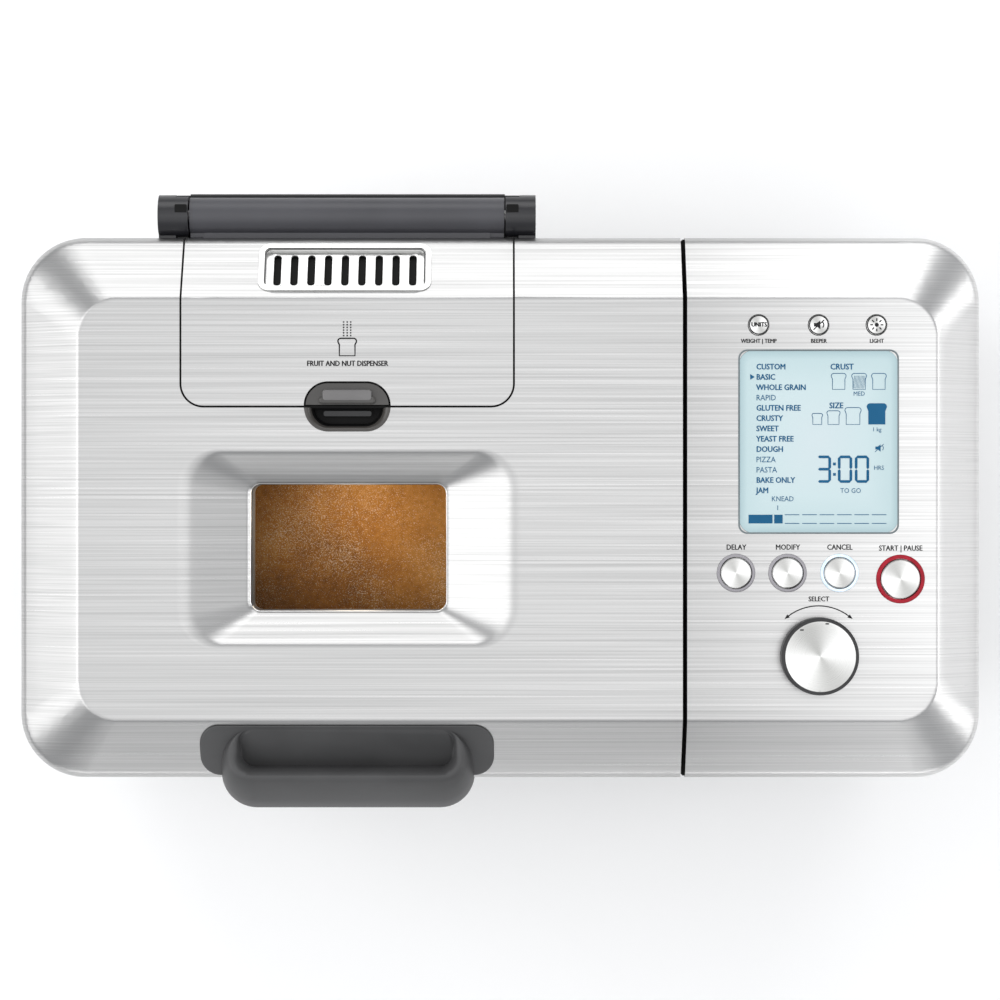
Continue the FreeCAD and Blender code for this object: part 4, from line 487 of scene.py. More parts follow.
# the machine's own sheets and mouldings, smoothed
lidSheet = smoothCopy("lid_skin", "lidSheet", steelTop, "lid")
smoothCopy("panel_cover", "panelSheet", steelPanelLit, "housing")
smoothCopy("dispenser_lid_skin", "dispenserSheet", steelTop, "dispenser_lid")
smoothCopy("vent_grille", "ventFrame", steelVent, "dispenser_lid", softEdge=0.25 * mm)
smoothCopy("housing_shell", "wrapShell", steelSide, "housing")
smoothCopy("base_tray", "baseTray", baseBlack, "housing", softEdge=0.4 * mm)
smoothCopy("side_grips", "sideGrips", blackPlastic, "housing", softEdge=0.4 * mm)
smoothCopy("hinge_barrel", "hingeBarrel", hingePlastic, "dispenser_lid", softEdge=0.5 * mm)
smoothCopy("hinge_caps", "hingeCaps", capPlastic, "lid", softEdge=1.3 * mm)
smoothCopy("latch_lever", "latchTab", latchPlastic, "latch", softEdge=0.5 * mm)
smoothCopy("bread_pan", "bakingPan", panCoating, "pan")
print("sheets smoothed")


# front handle: a sloping flange and a hooped grip
grip = {"left": gripLow.x, "right": gripHigh.x, "front": gripLow.y, "flangeRear": -96.0 * mm,
        "flangeFront": -118.3 * mm, "flangeRound": 8.5 * mm, "flangeRise": 1.1 * mm, "hoopRear": -97.5 * mm,
        "bevelRun": 25.6 * mm, "bevelDrop": 18.0 * mm, "bevelRear": -93.95 * mm}
# rows of the hoop from its foot to its inside: in from each end, in from the front, corner, height
hoopRows = ((9.5, 2.0, 12, 314), (8.3, 0.0, 15, 321), (8.6, 0.8, 15, 328), (9.6, 4.2, 14, 336.5),
            (11.0, 9.0, 12.5, 343), (12.2, 12.6, 11, 346.2), (13.4, 14.6, 9, 347.3), (14.7, 15.9, 8, 347.3),
            (15.8, 16.8, 7, 346.2), (16.6, 17.5, 6.5, 343.0), (17.2, 18.0, 6, 338.0))


def slopeLevel(y):  # height of the lid's front border
    return topZ - max(0.0, grip["bevelRear"] - y) * grip["bevelDrop"] / grip["bevelRun"]


def onSlope(rise):
    return lambda x, y: slopeLevel(y) + rise


def hoopLevel(height, rise=1.0 * mm):  # from the border's slope at the rear to its own height in front
    reach = 20.0 * mm

    def level(x, y):
        share = min(max((grip["hoopRear"] - y) / reach, 0.0), 1.0)
        base = slopeLevel(y) + rise
        return base + (height - base) * math.sin(share * math.pi / 2)

    return level


flange = (grip["left"], grip["right"], grip["flangeFront"], grip["flangeRear"], grip["flangeRound"])
flangeObj = ringSkin("flange", [(flange, onSlope(-1.5 * mm)), (flange, onSlope(0.5 * mm)),
                                (grown(flange, -0.35 * mm), onSlope(0.95 * mm)),
                                (grown(flange, -0.9 * mm), onSlope(grip["flangeRise"]))])
hoopRings = []
for inset, front, corner, height in hoopRows:
    edge = (grip["left"] + inset * mm, grip["right"] - inset * mm, grip["front"] + front * mm,
            grip["hoopRear"], corner * mm)
    hoopRings.append((edge, hoopLevel(height * mm)))
floorEdge = grown(hoopRings[-1][0], -0.8 * mm)
hoopRings.append((floorEdge, onSlope(1.4 * mm)))
hoopObj = ringSkin("hoop", hoopRings, 12)
handleObj = joined("frontHandle", [flangeObj, hoopObj])
outward(handleObj)
smooth(handleObj, 50)
finishPiece(handleObj, gripSoft, "lid", ("lid_handle",))
print("handle made")

# window: a soft-edged well, a bright bead round the glass
well = {"glassLeft": -107.0 * mm, "glassRight": -22.8 * mm, "glassFront": -47.6 * mm, "glassRear": 7.1 * mm,
        "corner": 4.6 * mm, "left": -137.4 * mm, "right": 9.0 * mm, "front": -63.2 * mm, "rear": 21.8 * mm,
        "wellRound": 17.0 * mm, "depth": 12.0 * mm, "bead": 0.6 * mm, "steps": 20, "soft": 0.20,
        "lap": 0.9 * mm, "proud": 0.06 * mm, "sheet": 0.05 * mm,
        "crowding": 1.3}  # crowding sets the rows closer together at the flat


def wellEdge(share):  # share 0 at the flat, 1 at the glass
    sides = [(name, "glass" + name.capitalize()) for name in ("left", "right", "front", "rear")]
    edge = [well[outer] + (well[inner] - well[outer]) * share for outer, inner in sides]
    return (*edge, well["wellRound"] + (well["corner"] - well["wellRound"]) * share)


def wellDrop(share):  # soft at the flat, then an even slope
    soft = well["soft"]
    return (share * share / (2 * soft) if share < soft else share - soft / 2) / (1 - soft / 2)


hole = wellEdge(0)
holeObj = ringSkin("wellHole", [(hole, topZ - 30 * mm), (hole, topZ + 5 * mm)], 12)
outward(holeObj)
withModifier(lidSheet, "BOOLEAN", operation="DIFFERENCE", object=holeObj, solver="EXACT")
bpy.data.objects.remove(holeObj)
selectIn(lidSheet, "faces", lambda face: True)
bpy.ops.mesh.customdata_custom_splitnormals_clear()
leaveEdit()
smooth(lidSheet, 32)
withModifier(lidSheet, "WEIGHTED_NORMAL", keep_sharp=True, weight=100)

wellRings = [(grown(hole, well["lap"]), topZ + 0.05 * mm), (hole, topZ + well["proud"])]
for step in range(1, well["steps"] + 1):
    share = (step / well["steps"]) ** well["crowding"]
    level = topZ + well["proud"] - wellDrop(share) * (well["depth"] - 0.5 * mm)
    wellRings.append((wellEdge(share), level))
wellRings.append((grown(wellEdge(1), -0.3 * mm), topZ - well["depth"] - 0.4 * mm))
wellObj = ringSkin("windowWell", wellRings, 16, False, False)
withModifier(wellObj, "SOLIDIFY", thickness=well["sheet"], offset=-1)
smooth(wellObj, 60)
finishPiece(wellObj, steelTop, "lid")
beadEdge = grown(wellEdge(1), well["bead"] / 2)
glassZ = topZ - well["depth"]
beadInner = grown(beadEdge, -well["bead"])
beadObj = ringSkin("windowBead", [(beadEdge, glassZ - 0.6 * mm), (beadEdge, glassZ + 0.4 * mm),
                                  (grown(beadEdge, -0.2 * mm), glassZ + 0.65 * mm),
                                  (beadInner, glassZ + 0.4 * mm), (beadInner, glassZ - 0.6 * mm)],
                   8, False, False)
finishPiece(smooth(beadObj, 60), beadBright, "lid")
print("window made")

# latch: a tab with a raised band, and the finger cup in front of it
latch = {"x": (leverLow.x + leverHigh.x) / 2, "half": 18.3 * mm, "deep": 10.2 * mm, "seam": cupHigh.y,
         "bandHalf": 10.2 * mm}


def cupEdge(half, deep):
    middle = latch["seam"]
    return (latch["x"] - half, latch["x"] + half, middle - deep, middle + deep, min(half, deep) - 0.01 * mm)


def halfCup(name, rows, material, closeLast):  # rows: narrower by, shallower by, height over the flat
    rings = [(cupEdge(latch["half"] - narrow * mm, latch["deep"] - short * mm), topZ + rise * mm)
             for narrow, short, rise in rows]
    obj = ringSkin(name, rings, 16, False, closeLast)
    pickOnly(obj)
    bpy.ops.object.mode_set(mode="EDIT")
    bpy.ops.mesh.select_all(action="SELECT")
    bpy.ops.mesh.bisect(plane_co=(0, latch["seam"], 0), plane_no=(0, 1, 0), clear_outer=True)
    leaveEdit()
    return finishPiece(smooth(obj, 50), material, "lid", ("latch_cup",))


halfCup("fingerCup", ((0, 0, -1.2), (0, 0, 0.35), (0.6, 0.6, 0.6), (1.6, 1.4, 0.2), (2.7, 2.0, -0.9),
                      (3.4, 2.6, -2.4)), cupGrey, False)
# painted shade: the hollow is near-black, much darker than the cup's plastic around it
halfCup("cupHollow", ((2.9, 2.2, -1.4), (3.6, 2.8, -2.4), (4.2, 3.4, -6.2)), cupBlack, True)
shelfLow = latch["seam"] - 3.6 * mm
shelfObj = block("cupShelf", (latch["x"] - latch["bandHalf"], shelfLow, topZ - 6.0 * mm),
                 (latch["x"] + latch["bandHalf"], latch["seam"] - 1.4 * mm, topZ - 3.4 * mm))
bevelWhere(shelfObj, isUpright, 0.9 * mm)
finishPiece(smooth(shelfObj), blackPlastic, "lid")
bandLow = latch["seam"] + 1.9 * mm
bandEdge = (latch["x"] - latch["bandHalf"], latch["x"] + latch["bandHalf"], bandLow + 1.2 * mm,
            bandLow + 5.4 * mm, 1.0 * mm)
bandObj = ringSkin("latchBand", [(grown(bandEdge, 0.3 * mm), leverHigh.z - 0.8 * mm),
                                 (bandEdge, leverHigh.z + 0.1 * mm),
                                 (grown(bandEdge, -0.5 * mm), leverHigh.z + 0.25 * mm)], 6)
finishPiece(smooth(bandObj), latchBright, "latch")
print("latch made")

# a black line in the gap round the dispenser lid, standing in for the shade in that gap (painted shade),
# pieces at the hinge and vent, and the strip beside the panel
# sizes of the painted-shade line in the gap, and of the rear slope that it follows
gapShade = {"radius": 0.95 * mm, "down": 1.75 * mm, "corner": 9.8 * mm, "rimRear": 113.05 * mm,
          "run": 27.2 * mm, "drop": 18.0 * mm, "out": 0.42 * mm}
gapShadeRows = [y * mm for y in (112.0, 104.0, 96.0, 88.0, 86.0, 84.0, 70.0)]  # down the rear slope to the flat


def rearLevel(y):
    return topZ - max(0.0, y - (gapShade["rimRear"] - gapShade["run"])) * gapShade["drop"] / gapShade["run"]


def slopeLine(name, points, radius, rise, closed=False):  # a round line along the rear slope
    places = [(x, y, rearLevel(y) + rise) for x, y in points]
    return smooth(lineMesh(name, places, closed, dimensions="3D", bevel_depth=radius, bevel_resolution=3,
                           use_fill_caps=True))


gapLeft, gapRight = flapLidLow.x - gapShade["out"], flapLidHigh.x + gapShade["out"]
gapFront = flapLidLow.y - gapShade["out"]
path = [(gapLeft, y) for y in gapShadeRows]
path += ringPoints((gapLeft, gapRight, gapFront, 1.0, gapShade["corner"]), 8)[:18]
path += [(gapRight, y) for y in gapShadeRows[::-1]]
finishPiece(slopeLine("gapShadeLine", path, gapShade["radius"], -gapShade["down"]), cupBlack, "lid")

barrelLow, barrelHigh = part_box("hinge_barrel")
lip = {"past": 0.2 * mm, "gap": 0.3 * mm, "foot": 306 * mm, "top": 316 * mm, "rear": 132.7 * mm}
lipObj = block("hingeRearLip", (barrelLow.x - lip["past"], barrelHigh.y + lip["gap"], lip["foot"]),
               (barrelHigh.x + lip["past"], lip["rear"], lip["top"]))
bevelWhere(lipObj, lambda e: abs(edgeAlong(e).x) > 0.99, 0.5 * mm)
finishPiece(smooth(lipObj), blackPlastic, "housing")

skirt = {"short": 0.2 * mm, "gap": 0.1 * mm, "foot": 316.2 * mm, "top": 320.6 * mm, "rear": 119.5 * mm}
skirtObj = block("barrelSkirt",
                 (barrelLow.x + skirt["short"], gapShade["rimRear"] + skirt["gap"], skirt["foot"]),
                 (barrelHigh.x - skirt["short"], skirt["rear"], skirt["top"]))
bevelWhere(skirtObj, lambda e: abs(edgeAlong(e).x) > 0.99, 0.6 * mm)
finishPiece(smooth(skirtObj), hingePlastic, "dispenser_lid")

ventX, ventY = (ventLow.x + ventHigh.x) / 2, (ventLow.y + ventHigh.y) / 2
# painted shade: a black sheet under the vent slots, so that they read dark
shade = {"halfX": 34.0 * mm, "halfY": 9.6 * mm, "down": 4.6 * mm, "thick": 1.2 * mm}
shadeEdge = (ventX - shade["halfX"], ventX + shade["halfX"], ventY - shade["halfY"],
             ventY + shade["halfY"], 3 * mm)
shadeObj = ringSkin("ventPaintedShade", [(shadeEdge, lambda x, y: rearLevel(y) - shade["down"] - shade["thick"]),
                                  (shadeEdge, lambda x, y: rearLevel(y) - shade["down"])], 6)
finishPiece(shadeObj, cupBlack, "dispenser_lid")

frameEdge = grown((ventLow.x, ventHigh.x, ventLow.y, ventHigh.y, 7.7 * mm), -0.2 * mm)
edgeObj = slopeLine("ventEdge", ringPoints(frameEdge, 8), 0.22 * mm, 0.08 * mm, True)
finishPiece(edgeObj, ventGrey, "dispenser_lid")
# painted shadow: a dark line along the left, rear and right walls of the vent's inner recess
innerEdge = (ventLow.x + 2.9 * mm, ventHigh.x - 2.9 * mm, ventLow.y + 3.0 * mm, ventHigh.y - 2.7 * mm,
             2.6 * mm)
innerLoop = ringPoints(innerEdge, 8)
topLoop = [point for point in innerLoop if point[1] > ventY]
topLoop.sort(key=lambda point: math.atan2(point[0] - ventX, point[1] - ventY))
topLoop = [(innerEdge[0], innerEdge[2])] + topLoop + [(innerEdge[1], innerEdge[2])]
recessShadowObj = slopeLine("ventRecessShadow", topLoop, 0.34 * mm, 0.10 * mm)
finishPiece(recessShadowObj, ventDark, "dispenser_lid")

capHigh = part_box("hinge_caps")[1]
notch = {"wide": 5.2 * mm, "tall": 4.0 * mm, "deep": 1.6 * mm, "barrelRadius": 8.0 * mm, "gap": 0.9 * mm}
notchFront = barrelHigh.y - notch["barrelRadius"] + 0.4 * mm
for name, end, way in (("leftNotch", barrelLow.x, -1), ("rightNotch", barrelHigh.x, 1)):
    inner = end + way * notch["gap"]
    outer = inner + way * notch["wide"]
    low = (min(inner, outer), notchFront, capHigh.z - notch["deep"])
    high = (max(inner, outer), notchFront + notch["tall"], capHigh.z - 0.05 * mm)
    notchObj = bevelWhere(block(name, low, high), isUpright, 0.5 * mm)
    finishPiece(smooth(notchObj), cupBlack, "lid")

strip = {"gap": 0.7 * mm, "lap": 0.1 * mm, "end": 0.9 * mm, "foot": 314 * mm, "top": 326 * mm}
stripObj = block("seamStrip", (lidHigh.x + strip["gap"], coverLow.y + strip["end"], strip["foot"]),
                 (coverLow.x + strip["lap"], coverHigh.y - strip["end"], strip["top"]))
bevelWhere(stripObj, lambda e: abs(edgeAlong(e).y) > 0.99 and edgeMiddle(e).z > 0.32, 0.3 * mm, 2)
finishPiece(smooth(stripObj), cupBlack, "housing")
print("gasket, hinge and vent pieces made")


# finishes of the nodes that keep their own mesh, then the caps of the buttons and dial
def screenFinish():
    material, tree, shader, where = startMaterial("screenFinish", (0.66, 0.79, 0.87), 0.12)
    middle, half = (lensLow + lensHigh) / 2, (lensHigh - lensLow) / 2
    shift = tree.nodes.new("ShaderNodeMapping")
    shift.inputs["Location"].default_value = (-middle.x / half.x, -middle.y / half.y, 0)
    shift.inputs["Scale"].default_value = (1 / half.x, 1 / half.y, 0)
    size = tree.nodes.new("ShaderNodeVectorMath")
    size.operation = "ABSOLUTE"
    apart = tree.nodes.new("ShaderNodeSeparateXYZ")
    larger = tree.nodes.new("ShaderNodeMath")
    larger.operation = "SMOOTH_MAX"
    larger.inputs[2].default_value = 0.15
    tree.links.new(where, shift.inputs["Vector"])
    tree.links.new(shift.outputs["Vector"], size.inputs[0])
    tree.links.new(size.outputs["Vector"], apart.inputs["Vector"])
    tree.links.new(apart.outputs["X"], larger.inputs[0])
    tree.links.new(apart.outputs["Y"], larger.inputs[1])
    stops = [(0.0, (0.49, 0.575, 0.60)), (0.6, (0.46, 0.57, 0.59)), (0.9, (0.41, 0.53, 0.55)),
             (1.0, (0.30, 0.42, 0.45))]
    colour = spread(tree, larger.outputs["Value"], stops)
    tree.links.new(colour, shader.inputs["Base Color"])
    tree.links.new(colour, shader.inputs["Emission Color"])
    shader.inputs["Emission Strength"].default_value = 0.05
    smear = grain(tree, where, (60, 60, 60), 3.0)
    tree.links.new(between(tree, smear, 0.1, 0.16), shader.inputs["Roughness"])
    return material


def litRing(name, dark, light, glow):
    material, tree, shader, where = startMaterial(name, light, 0.3)
    cloud = grain(tree, where, (300, 300, 300), 2.0)
    colour = spread(tree, cloud, [(0.35, dark), (0.65, light)])
    tree.links.new(colour, shader.inputs["Base Color"])
    tree.links.new(colour, shader.inputs["Emission Color"])
    shader.inputs["Emission Strength"].default_value = glow
    shader.inputs["Specular IOR Level"].default_value = 0.2
    return material


nodeLooks = {
    steelPlain: ["hinge_pin", "case_screws", "pan_handle", "temperature_probe", "drive_spindle", "pan_shaft",
                 "paddle_hub", "lid_liner", "dispenser_box", "dispenser_flap", "solenoid_plunger"],
    zincPlate: ["chassis_plate", "oven_chamber", "large_pulley", "motor_pulley"],
    blackPlastic: ["hinge_bracket", "top_deck", "rubber_feet", "cord_grommet", "drive_belt", "dial_knob",
                   # dispenser_lid_liner is made black so that the vent slots above it read dark: painted
                   # shade
                   "panel_carrier", "solenoid_coil", "dispenser_lid_liner"],
    greyPlastic: ["plain_rings", "dial_encoder"],
    sealSilicone: ["lid_seal", "window_gasket"],
    boardGreen: ["power_board", "control_board"],
    motorPaint: ["drive_motor", "heating_element"],
    panCoating: ["kneading_blade"],
    bushBronze: ["spindle_bush"],
    windowClear: ["window_glass"],
    lampClear: ["chamber_lamp"],
    screenFinish(): ["display_lens"],
    litRing("cancelGlow", (0.55, 0.68, 0.80), (0.72, 0.82, 0.92), 0.25): ["cancel_ring"],
    litRing("startRed", (0.27, 0.004, 0.014), (0.36, 0.007, 0.022), 0.02): ["start_ring"],
}
for look, nodes in nodeLooks.items():
    for nodeName in nodes:
        for holder in frame["nodes"][nodeName].material_slots:
            holder.material = look
for nodeName in ("units_button", "beeper_button", "light_button", "delay_start_button", "modify_button",
                 "cancel_button", "start_pause_button"):
    face = turnedMetalPaintedSheen(nodeName + "Face", middleOf(nodeName), (0.34, 0.34, 0.33), (0.80, 0.80, 0.79))
    smoothCopy(nodeName, nodeName.replace("_button", "Cap"), face, nodeName,
               softEdge=0.35 * mm)
dialFace = turnedMetalPaintedSheen("dialFace", (dialX, dialY), (0.34, 0.34, 0.33), (0.76, 0.76, 0.75))
smoothCopy("dial_cap", "dialCap", dialFace, "dial", softEdge=0.5 * mm)
print("node finishes set")


# tools for printed words, lines and figures
ink = {"thick": 0.08 * mm, "capShare": 0.72, "narrow": 0.93}


def words(text, x, y, z, tall, side="CENTER", heavy=0.0, narrow=None):
    bpy.ops.object.select_all(action="DESELECT")
    bpy.ops.object.text_add()
    obj = bpy.context.active_object
    obj.data.body = text
    obj.data.size = tall / ink["capShare"]
    obj.data.align_x = side
    obj.data.align_y = "CENTER"
    obj.data.resolution_u = 2
    obj.data.extrude = ink["thick"] / 2
    bpy.ops.object.convert(target="MESH")
    obj = bpy.context.active_object
    obj.scale = (narrow or ink["narrow"], 1, 1)
    obj.location = (x, y, z + ink["thick"] / 2)
    settle(obj)
    if heavy:
        obj = joined("words", [obj, copyOf(obj, "bolder", (heavy, 0, -0.01 * mm)),
                              copyOf(obj, "taller", (heavy / 2, heavy / 2, -0.02 * mm))])
    return obj


def stroke(points, line, z, closed=False):  # a thin round line through points
    obj = lineMesh("stroke", [(x, y, 0) for x, y in points], closed, dimensions="3D", bevel_depth=line / 2,
                   bevel_resolution=1)
    obj.scale = (1, 1, ink["thick"] / line)
    obj.location = (0, 0, z + ink["thick"] / 2)
    return settle(obj)


def arcPoints(x, y, radius, start, end, steps=8):
    turns = [math.radians(start + (end - start) * k / steps) for k in range(steps + 1)]
    return [(x + radius * math.cos(turn), y + radius * math.sin(turn)) for turn in turns]


def slicePoints(x, y, wide, tall):  # outline of a slice of bread about its middle
    crown = tall * 0.16
    waist = wide * 0.42
    points = [(x - waist, y - tall / 2), (x - waist, y + tall / 2 - 2.3 * crown)]
    points += arcPoints(x - wide / 2 + crown, y + tall / 2 - crown, crown, 215, 90, 6)
    points += arcPoints(x + wide / 2 - crown, y + tall / 2 - crown, crown, 90, -35, 6)
    return points + [(x + waist, y + tall / 2 - 2.3 * crown), (x + waist, y - tall / 2)]


def filledShape(points, z):
    obj = lineMesh("shape", [(x, y, 0) for x, y in points], True, dimensions="2D", fill_mode="BOTH",
                   extrude=ink["thick"] / 2)
    obj.location = (0, 0, z + ink["thick"] / 2)
    return settle(obj)


def bar(x, y, z, wide, tall, corner=0.0):
    obj = block("bar", (x - wide / 2, y - tall / 2, z), (x + wide / 2, y + tall / 2, z + ink["thick"]))
    return bevelWhere(obj, isUpright, corner, 1) if corner else obj


def figure(number, x, y, z, wide, tall, line):  # a seven-bar figure
    lit = {"0": "abcdef", "1": "bc", "2": "abged", "3": "abgcd", "4": "fgbc", "5": "afgcd", "6": "afgedc",
           "7": "abc", "8": "abcdefg", "9": "abcdfg"}[number]
    half, up = wide / 2 - line / 2, tall / 2 - line / 2
    bars = {"a": (0, up, 0), "g": (0, 0, 0), "d": (0, -up, 0), "f": (-half, up / 2, 1),
            "b": (half, up / 2, 1), "e": (-half, -up / 2, 1), "c": (half, -up / 2, 1)}
    made = []
    for name in lit:
        dx, dy, upright = bars[name]
        long = (up if upright else 2 * half) - 0.12 * line
        made.append(bar(x + dx, y + dy, z, line if upright else long, long if upright else line, line * 0.45))
    return made


def speaker(x, y, z, size, line):
    body = [(-0.5, -0.18), (-0.5, 0.18), (-0.2, 0.18), (0.15, 0.45), (0.15, -0.45), (-0.2, -0.18)]
    made = [filledShape([(x + size * px, y + size * py) for px, py in body], z)]
    made.append(stroke([(x - size * 0.55, y - size * 0.5), (x + size * 0.55, y + size * 0.5)], line, z))
    made.append(stroke(arcPoints(x + size * 0.15, y, size * 0.35, -50, 50), line, z))
    return made


# display
screen = {"menuX": -26.6 * mm, "menuTop": 31.7 * mm, "menuPitch": 4.38 * mm, "menuTall": 2.45 * mm,
          "crustY": 25.6 * mm, "crustWide": 6.3 * mm, "sizeFoot": 7.3 * mm, "figureTall": 11.6 * mm,
          "figureWide": 6.1 * mm, "figureLine": 1.15 * mm, "barY": -32.9 * mm, "barTall": 3.7 * mm,
          "timeY": -11.7 * mm, "crustX": (8.5 * mm, 17.2 * mm, 25.6 * mm)}
lensX, lensY = panelX, (lensLow.y + lensHigh.y) / 2
inkZ = lensHigh.z
drawn = []


def label(text, dx, dy, tall, heavy=0.0):  # placed in millimetres from the display's middle
    drawn.append(words(text, lensX + dx * mm, lensY + dy * mm, inkZ, tall * mm, heavy=heavy * mm))


menu = ["CUSTOM", "BASIC", "WHOLE GRAIN", "RAPID", "GLUTEN FREE", "CRUSTY", "SWEET", "YEAST FREE", "DOUGH",
        "PIZZA", "PASTA", "BAKE ONLY", "JAM"]
for row, entry in enumerate(menu):
    bold = 0.0 if entry in ("RAPID", "PIZZA", "PASTA") else 0.2 * mm
    rowLevel = lensY + screen["menuTop"] - row * screen["menuPitch"]
    drawn.append(words(entry, lensX + screen["menuX"], rowLevel, inkZ, screen["menuTall"], "LEFT", bold, 0.9))
rowY = lensY + screen["menuTop"] - screen["menuPitch"]
drawn.append(words("▶", lensX + screen["menuX"] - 1.6 * mm, rowY, inkZ, 1.9 * mm))
label("CRUST", 9.8, 31.7, 2.5, 0.2)
for place in screen["crustX"]:
    drawn.append(stroke(slicePoints(lensX + place, lensY + screen["crustY"], screen["crustWide"], 6.8 * mm),
                        0.3 * mm, inkZ, True))
for step in range(9):  # hatching on the middle slice
    across = lensX + screen["crustX"][1] - 2.3 * mm + step * 0.55 * mm
    drawn.append(stroke([(across - 0.2 * mm, lensY + screen["crustY"] - 3.0 * mm),
                         (across + 0.4 * mm, lensY + screen["crustY"] + 2.4 * mm)], 0.16 * mm, inkZ))
label("MED", 17.2, 20.3, 1.9)
label("SIZE", 7.4, 15.2, 2.5, 0.2)
for place, wide in ((-0.6 * mm, 4.5 * mm), (6.3 * mm, 5.6 * mm), (14.6 * mm, 6.9 * mm)):
    outline = slicePoints(lensX + place, lensY + screen["sizeFoot"] + wide * 0.52, wide, wide * 1.04)
    drawn.append(stroke(outline, 0.3 * mm, inkZ, True))
largest = slicePoints(lensX + 24.7 * mm, lensY + screen["sizeFoot"] + 4.5 * mm, 8.6 * mm, 9.0 * mm)
drawn.append(filledShape(largest, inkZ))
label("1 kg", 24.7, 5.1, 1.8)
drawn += speaker(lensX + 25.8 * mm, lensY - 2.7 * mm, inkZ, 3.4 * mm, 0.28 * mm)
for number, place in (("3", 2.2 * mm), ("0", 11.2 * mm), ("0", 18.4 * mm)):
    drawn += figure(number, lensX + place, lensY + screen["timeY"], inkZ, screen["figureWide"],
                    screen["figureTall"], screen["figureLine"])
for up in (-2.2 * mm, 2.2 * mm):
    drawn.append(bar(lensX + 6.7 * mm, lensY + screen["timeY"] + up, inkZ, 1.2 * mm, 1.2 * mm))
label("HRS", 25.6, -11.2, 1.9)
label("TO GO", 13.6, -20.9, 2.1)
label("KNEAD", -15.3, -24.4, 2.2)
label("1", -17.4, -28.2, 2.1)
barTop = lensY + screen["barY"] + screen["barTall"] / 2
barFoot = barTop - screen["barTall"]
for start, end in ((-29.8, -19.6), (-18.9, -15.3)):
    middle = lensX + (start + end) / 2 * mm
    drawn.append(bar(middle, lensY + screen["barY"], inkZ, (end - start) * mm, screen["barTall"]))
for start in range(6):
    left = lensX + (-14.4 + start * 7.4) * mm
    for level in (barTop, barFoot):
        drawn.append(bar(left + 3.1 * mm, level, inkZ, 6.2 * mm, 0.3 * mm))
finishPiece(joined("screenMarks", drawn), screenInk, "housing")
lensEdge = grown((lensLow.x, lensHigh.x, lensLow.y, lensHigh.y, 3.5 * mm), 0.1 * mm)
outlineRows = [(grown(lensEdge, 0.3 * mm), topZ), (grown(lensEdge, 0.3 * mm), inkZ + 0.05 * mm),
               (grown(lensEdge, 0.1 * mm), inkZ + 0.16 * mm), (grown(lensEdge, -0.25 * mm), inkZ + 0.16 * mm),
               (grown(lensEdge, -0.4 * mm), inkZ)]
outlineObj = smooth(ringSkin("screenOutline", outlineRows, 10, False, False), 50)
finishPiece(outlineObj, outlineGrey, "housing")
print("display drawn")

# printed panel
printed = []
captions = {"units_button": ("WEIGHT | TEMP", -6.9, 1.75), "beeper_button": ("BEEPER", -6.9, 1.75),
            "light_button": ("LIGHT", -6.9, 1.75), "delay_start_button": ("DELAY", 10.8, 2.3),
            "modify_button": ("MODIFY", 10.8, 2.3), "cancel_button": ("CANCEL", 10.8, 2.3),
            "start_pause_button": ("START | PAUSE", 13.0, 2.3)}  # word, rise and height in millimetres
for nodeName, (caption, rise, tall) in captions.items():
    x, y = middleOf(nodeName)
    printed.append(words(caption, x, y + rise * mm, topZ, tall * mm, heavy=0.2 * mm, narrow=0.88))
arc = {"radius": 21.2 * mm, "reach": 37, "line": 0.5 * mm, "tip": 2.2 * mm}
printed.append(words("SELECT", dialX, dialY + 24.0 * mm, topZ, 2.1 * mm, heavy=0.2 * mm))
sweep = arcPoints(dialX, dialY, arc["radius"], 90 - arc["reach"], 90 + arc["reach"], 24)
printed.append(stroke(sweep, arc["line"], topZ))
for side in (-1, 1):
    turn = math.radians(90 - side * arc["reach"])
    tipX, tipY = dialX + arc["radius"] * math.cos(turn), dialY + arc["radius"] * math.sin(turn)
    ahead = turn - side * math.pi / 2
    corners = [(tipX + arc["tip"] * math.cos(ahead), tipY + arc["tip"] * math.sin(ahead))]
    for swing in (-1, 1):
        corners.append((tipX + 0.85 * mm * math.cos(turn) * swing, tipY + 0.85 * mm * math.sin(turn) * swing))
    printed.append(filledShape(corners, topZ))
finishPiece(joined("panelPrint", printed), panelInk, "housing")

for nodeName in ("units_button", "beeper_button", "light_button"):  # marks on the three small caps
    x, y = middleOf(nodeName)
    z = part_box(nodeName)[1].z
    marks = [stroke(arcPoints(x, y, 3.95 * mm, 0, 350, 35), 0.5 * mm, z, True)]
    if nodeName == "units_button":
        marks.append(words("UNITS", x, y, z, 1.9 * mm, heavy=0.3 * mm, narrow=0.9))
    elif nodeName == "beeper_button":
        marks += speaker(x, y, z, 4.2 * mm, 0.5 * mm)
    else:
        marks.append(filledShape(arcPoints(x, y, 0.9 * mm, 0, 330, 11), z))
        for ray in range(8):
            turn = math.radians(45 * ray)
            ends = [(x + far * mm * math.cos(turn), y + far * mm * math.sin(turn)) for far in (1.6, 2.8)]
            marks.append(stroke(ends, 0.55 * mm, z))
    finishPiece(joined(nodeName.replace("_button", "Mark"), marks), panelInk, nodeName)

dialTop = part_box("dial_cap")[1].z
# two small dark marks on the dial cap, at the places given
dialSpots = [bar(dialX + dx * mm, dialY + dy * mm, dialTop, 1.5 * mm, 0.6 * mm)
         for dx, dy in ((-7.9, 11.3), (2.8, 13.9))]
finishPiece(joined("dialDarkMarks", dialSpots), panelInk, "dial")

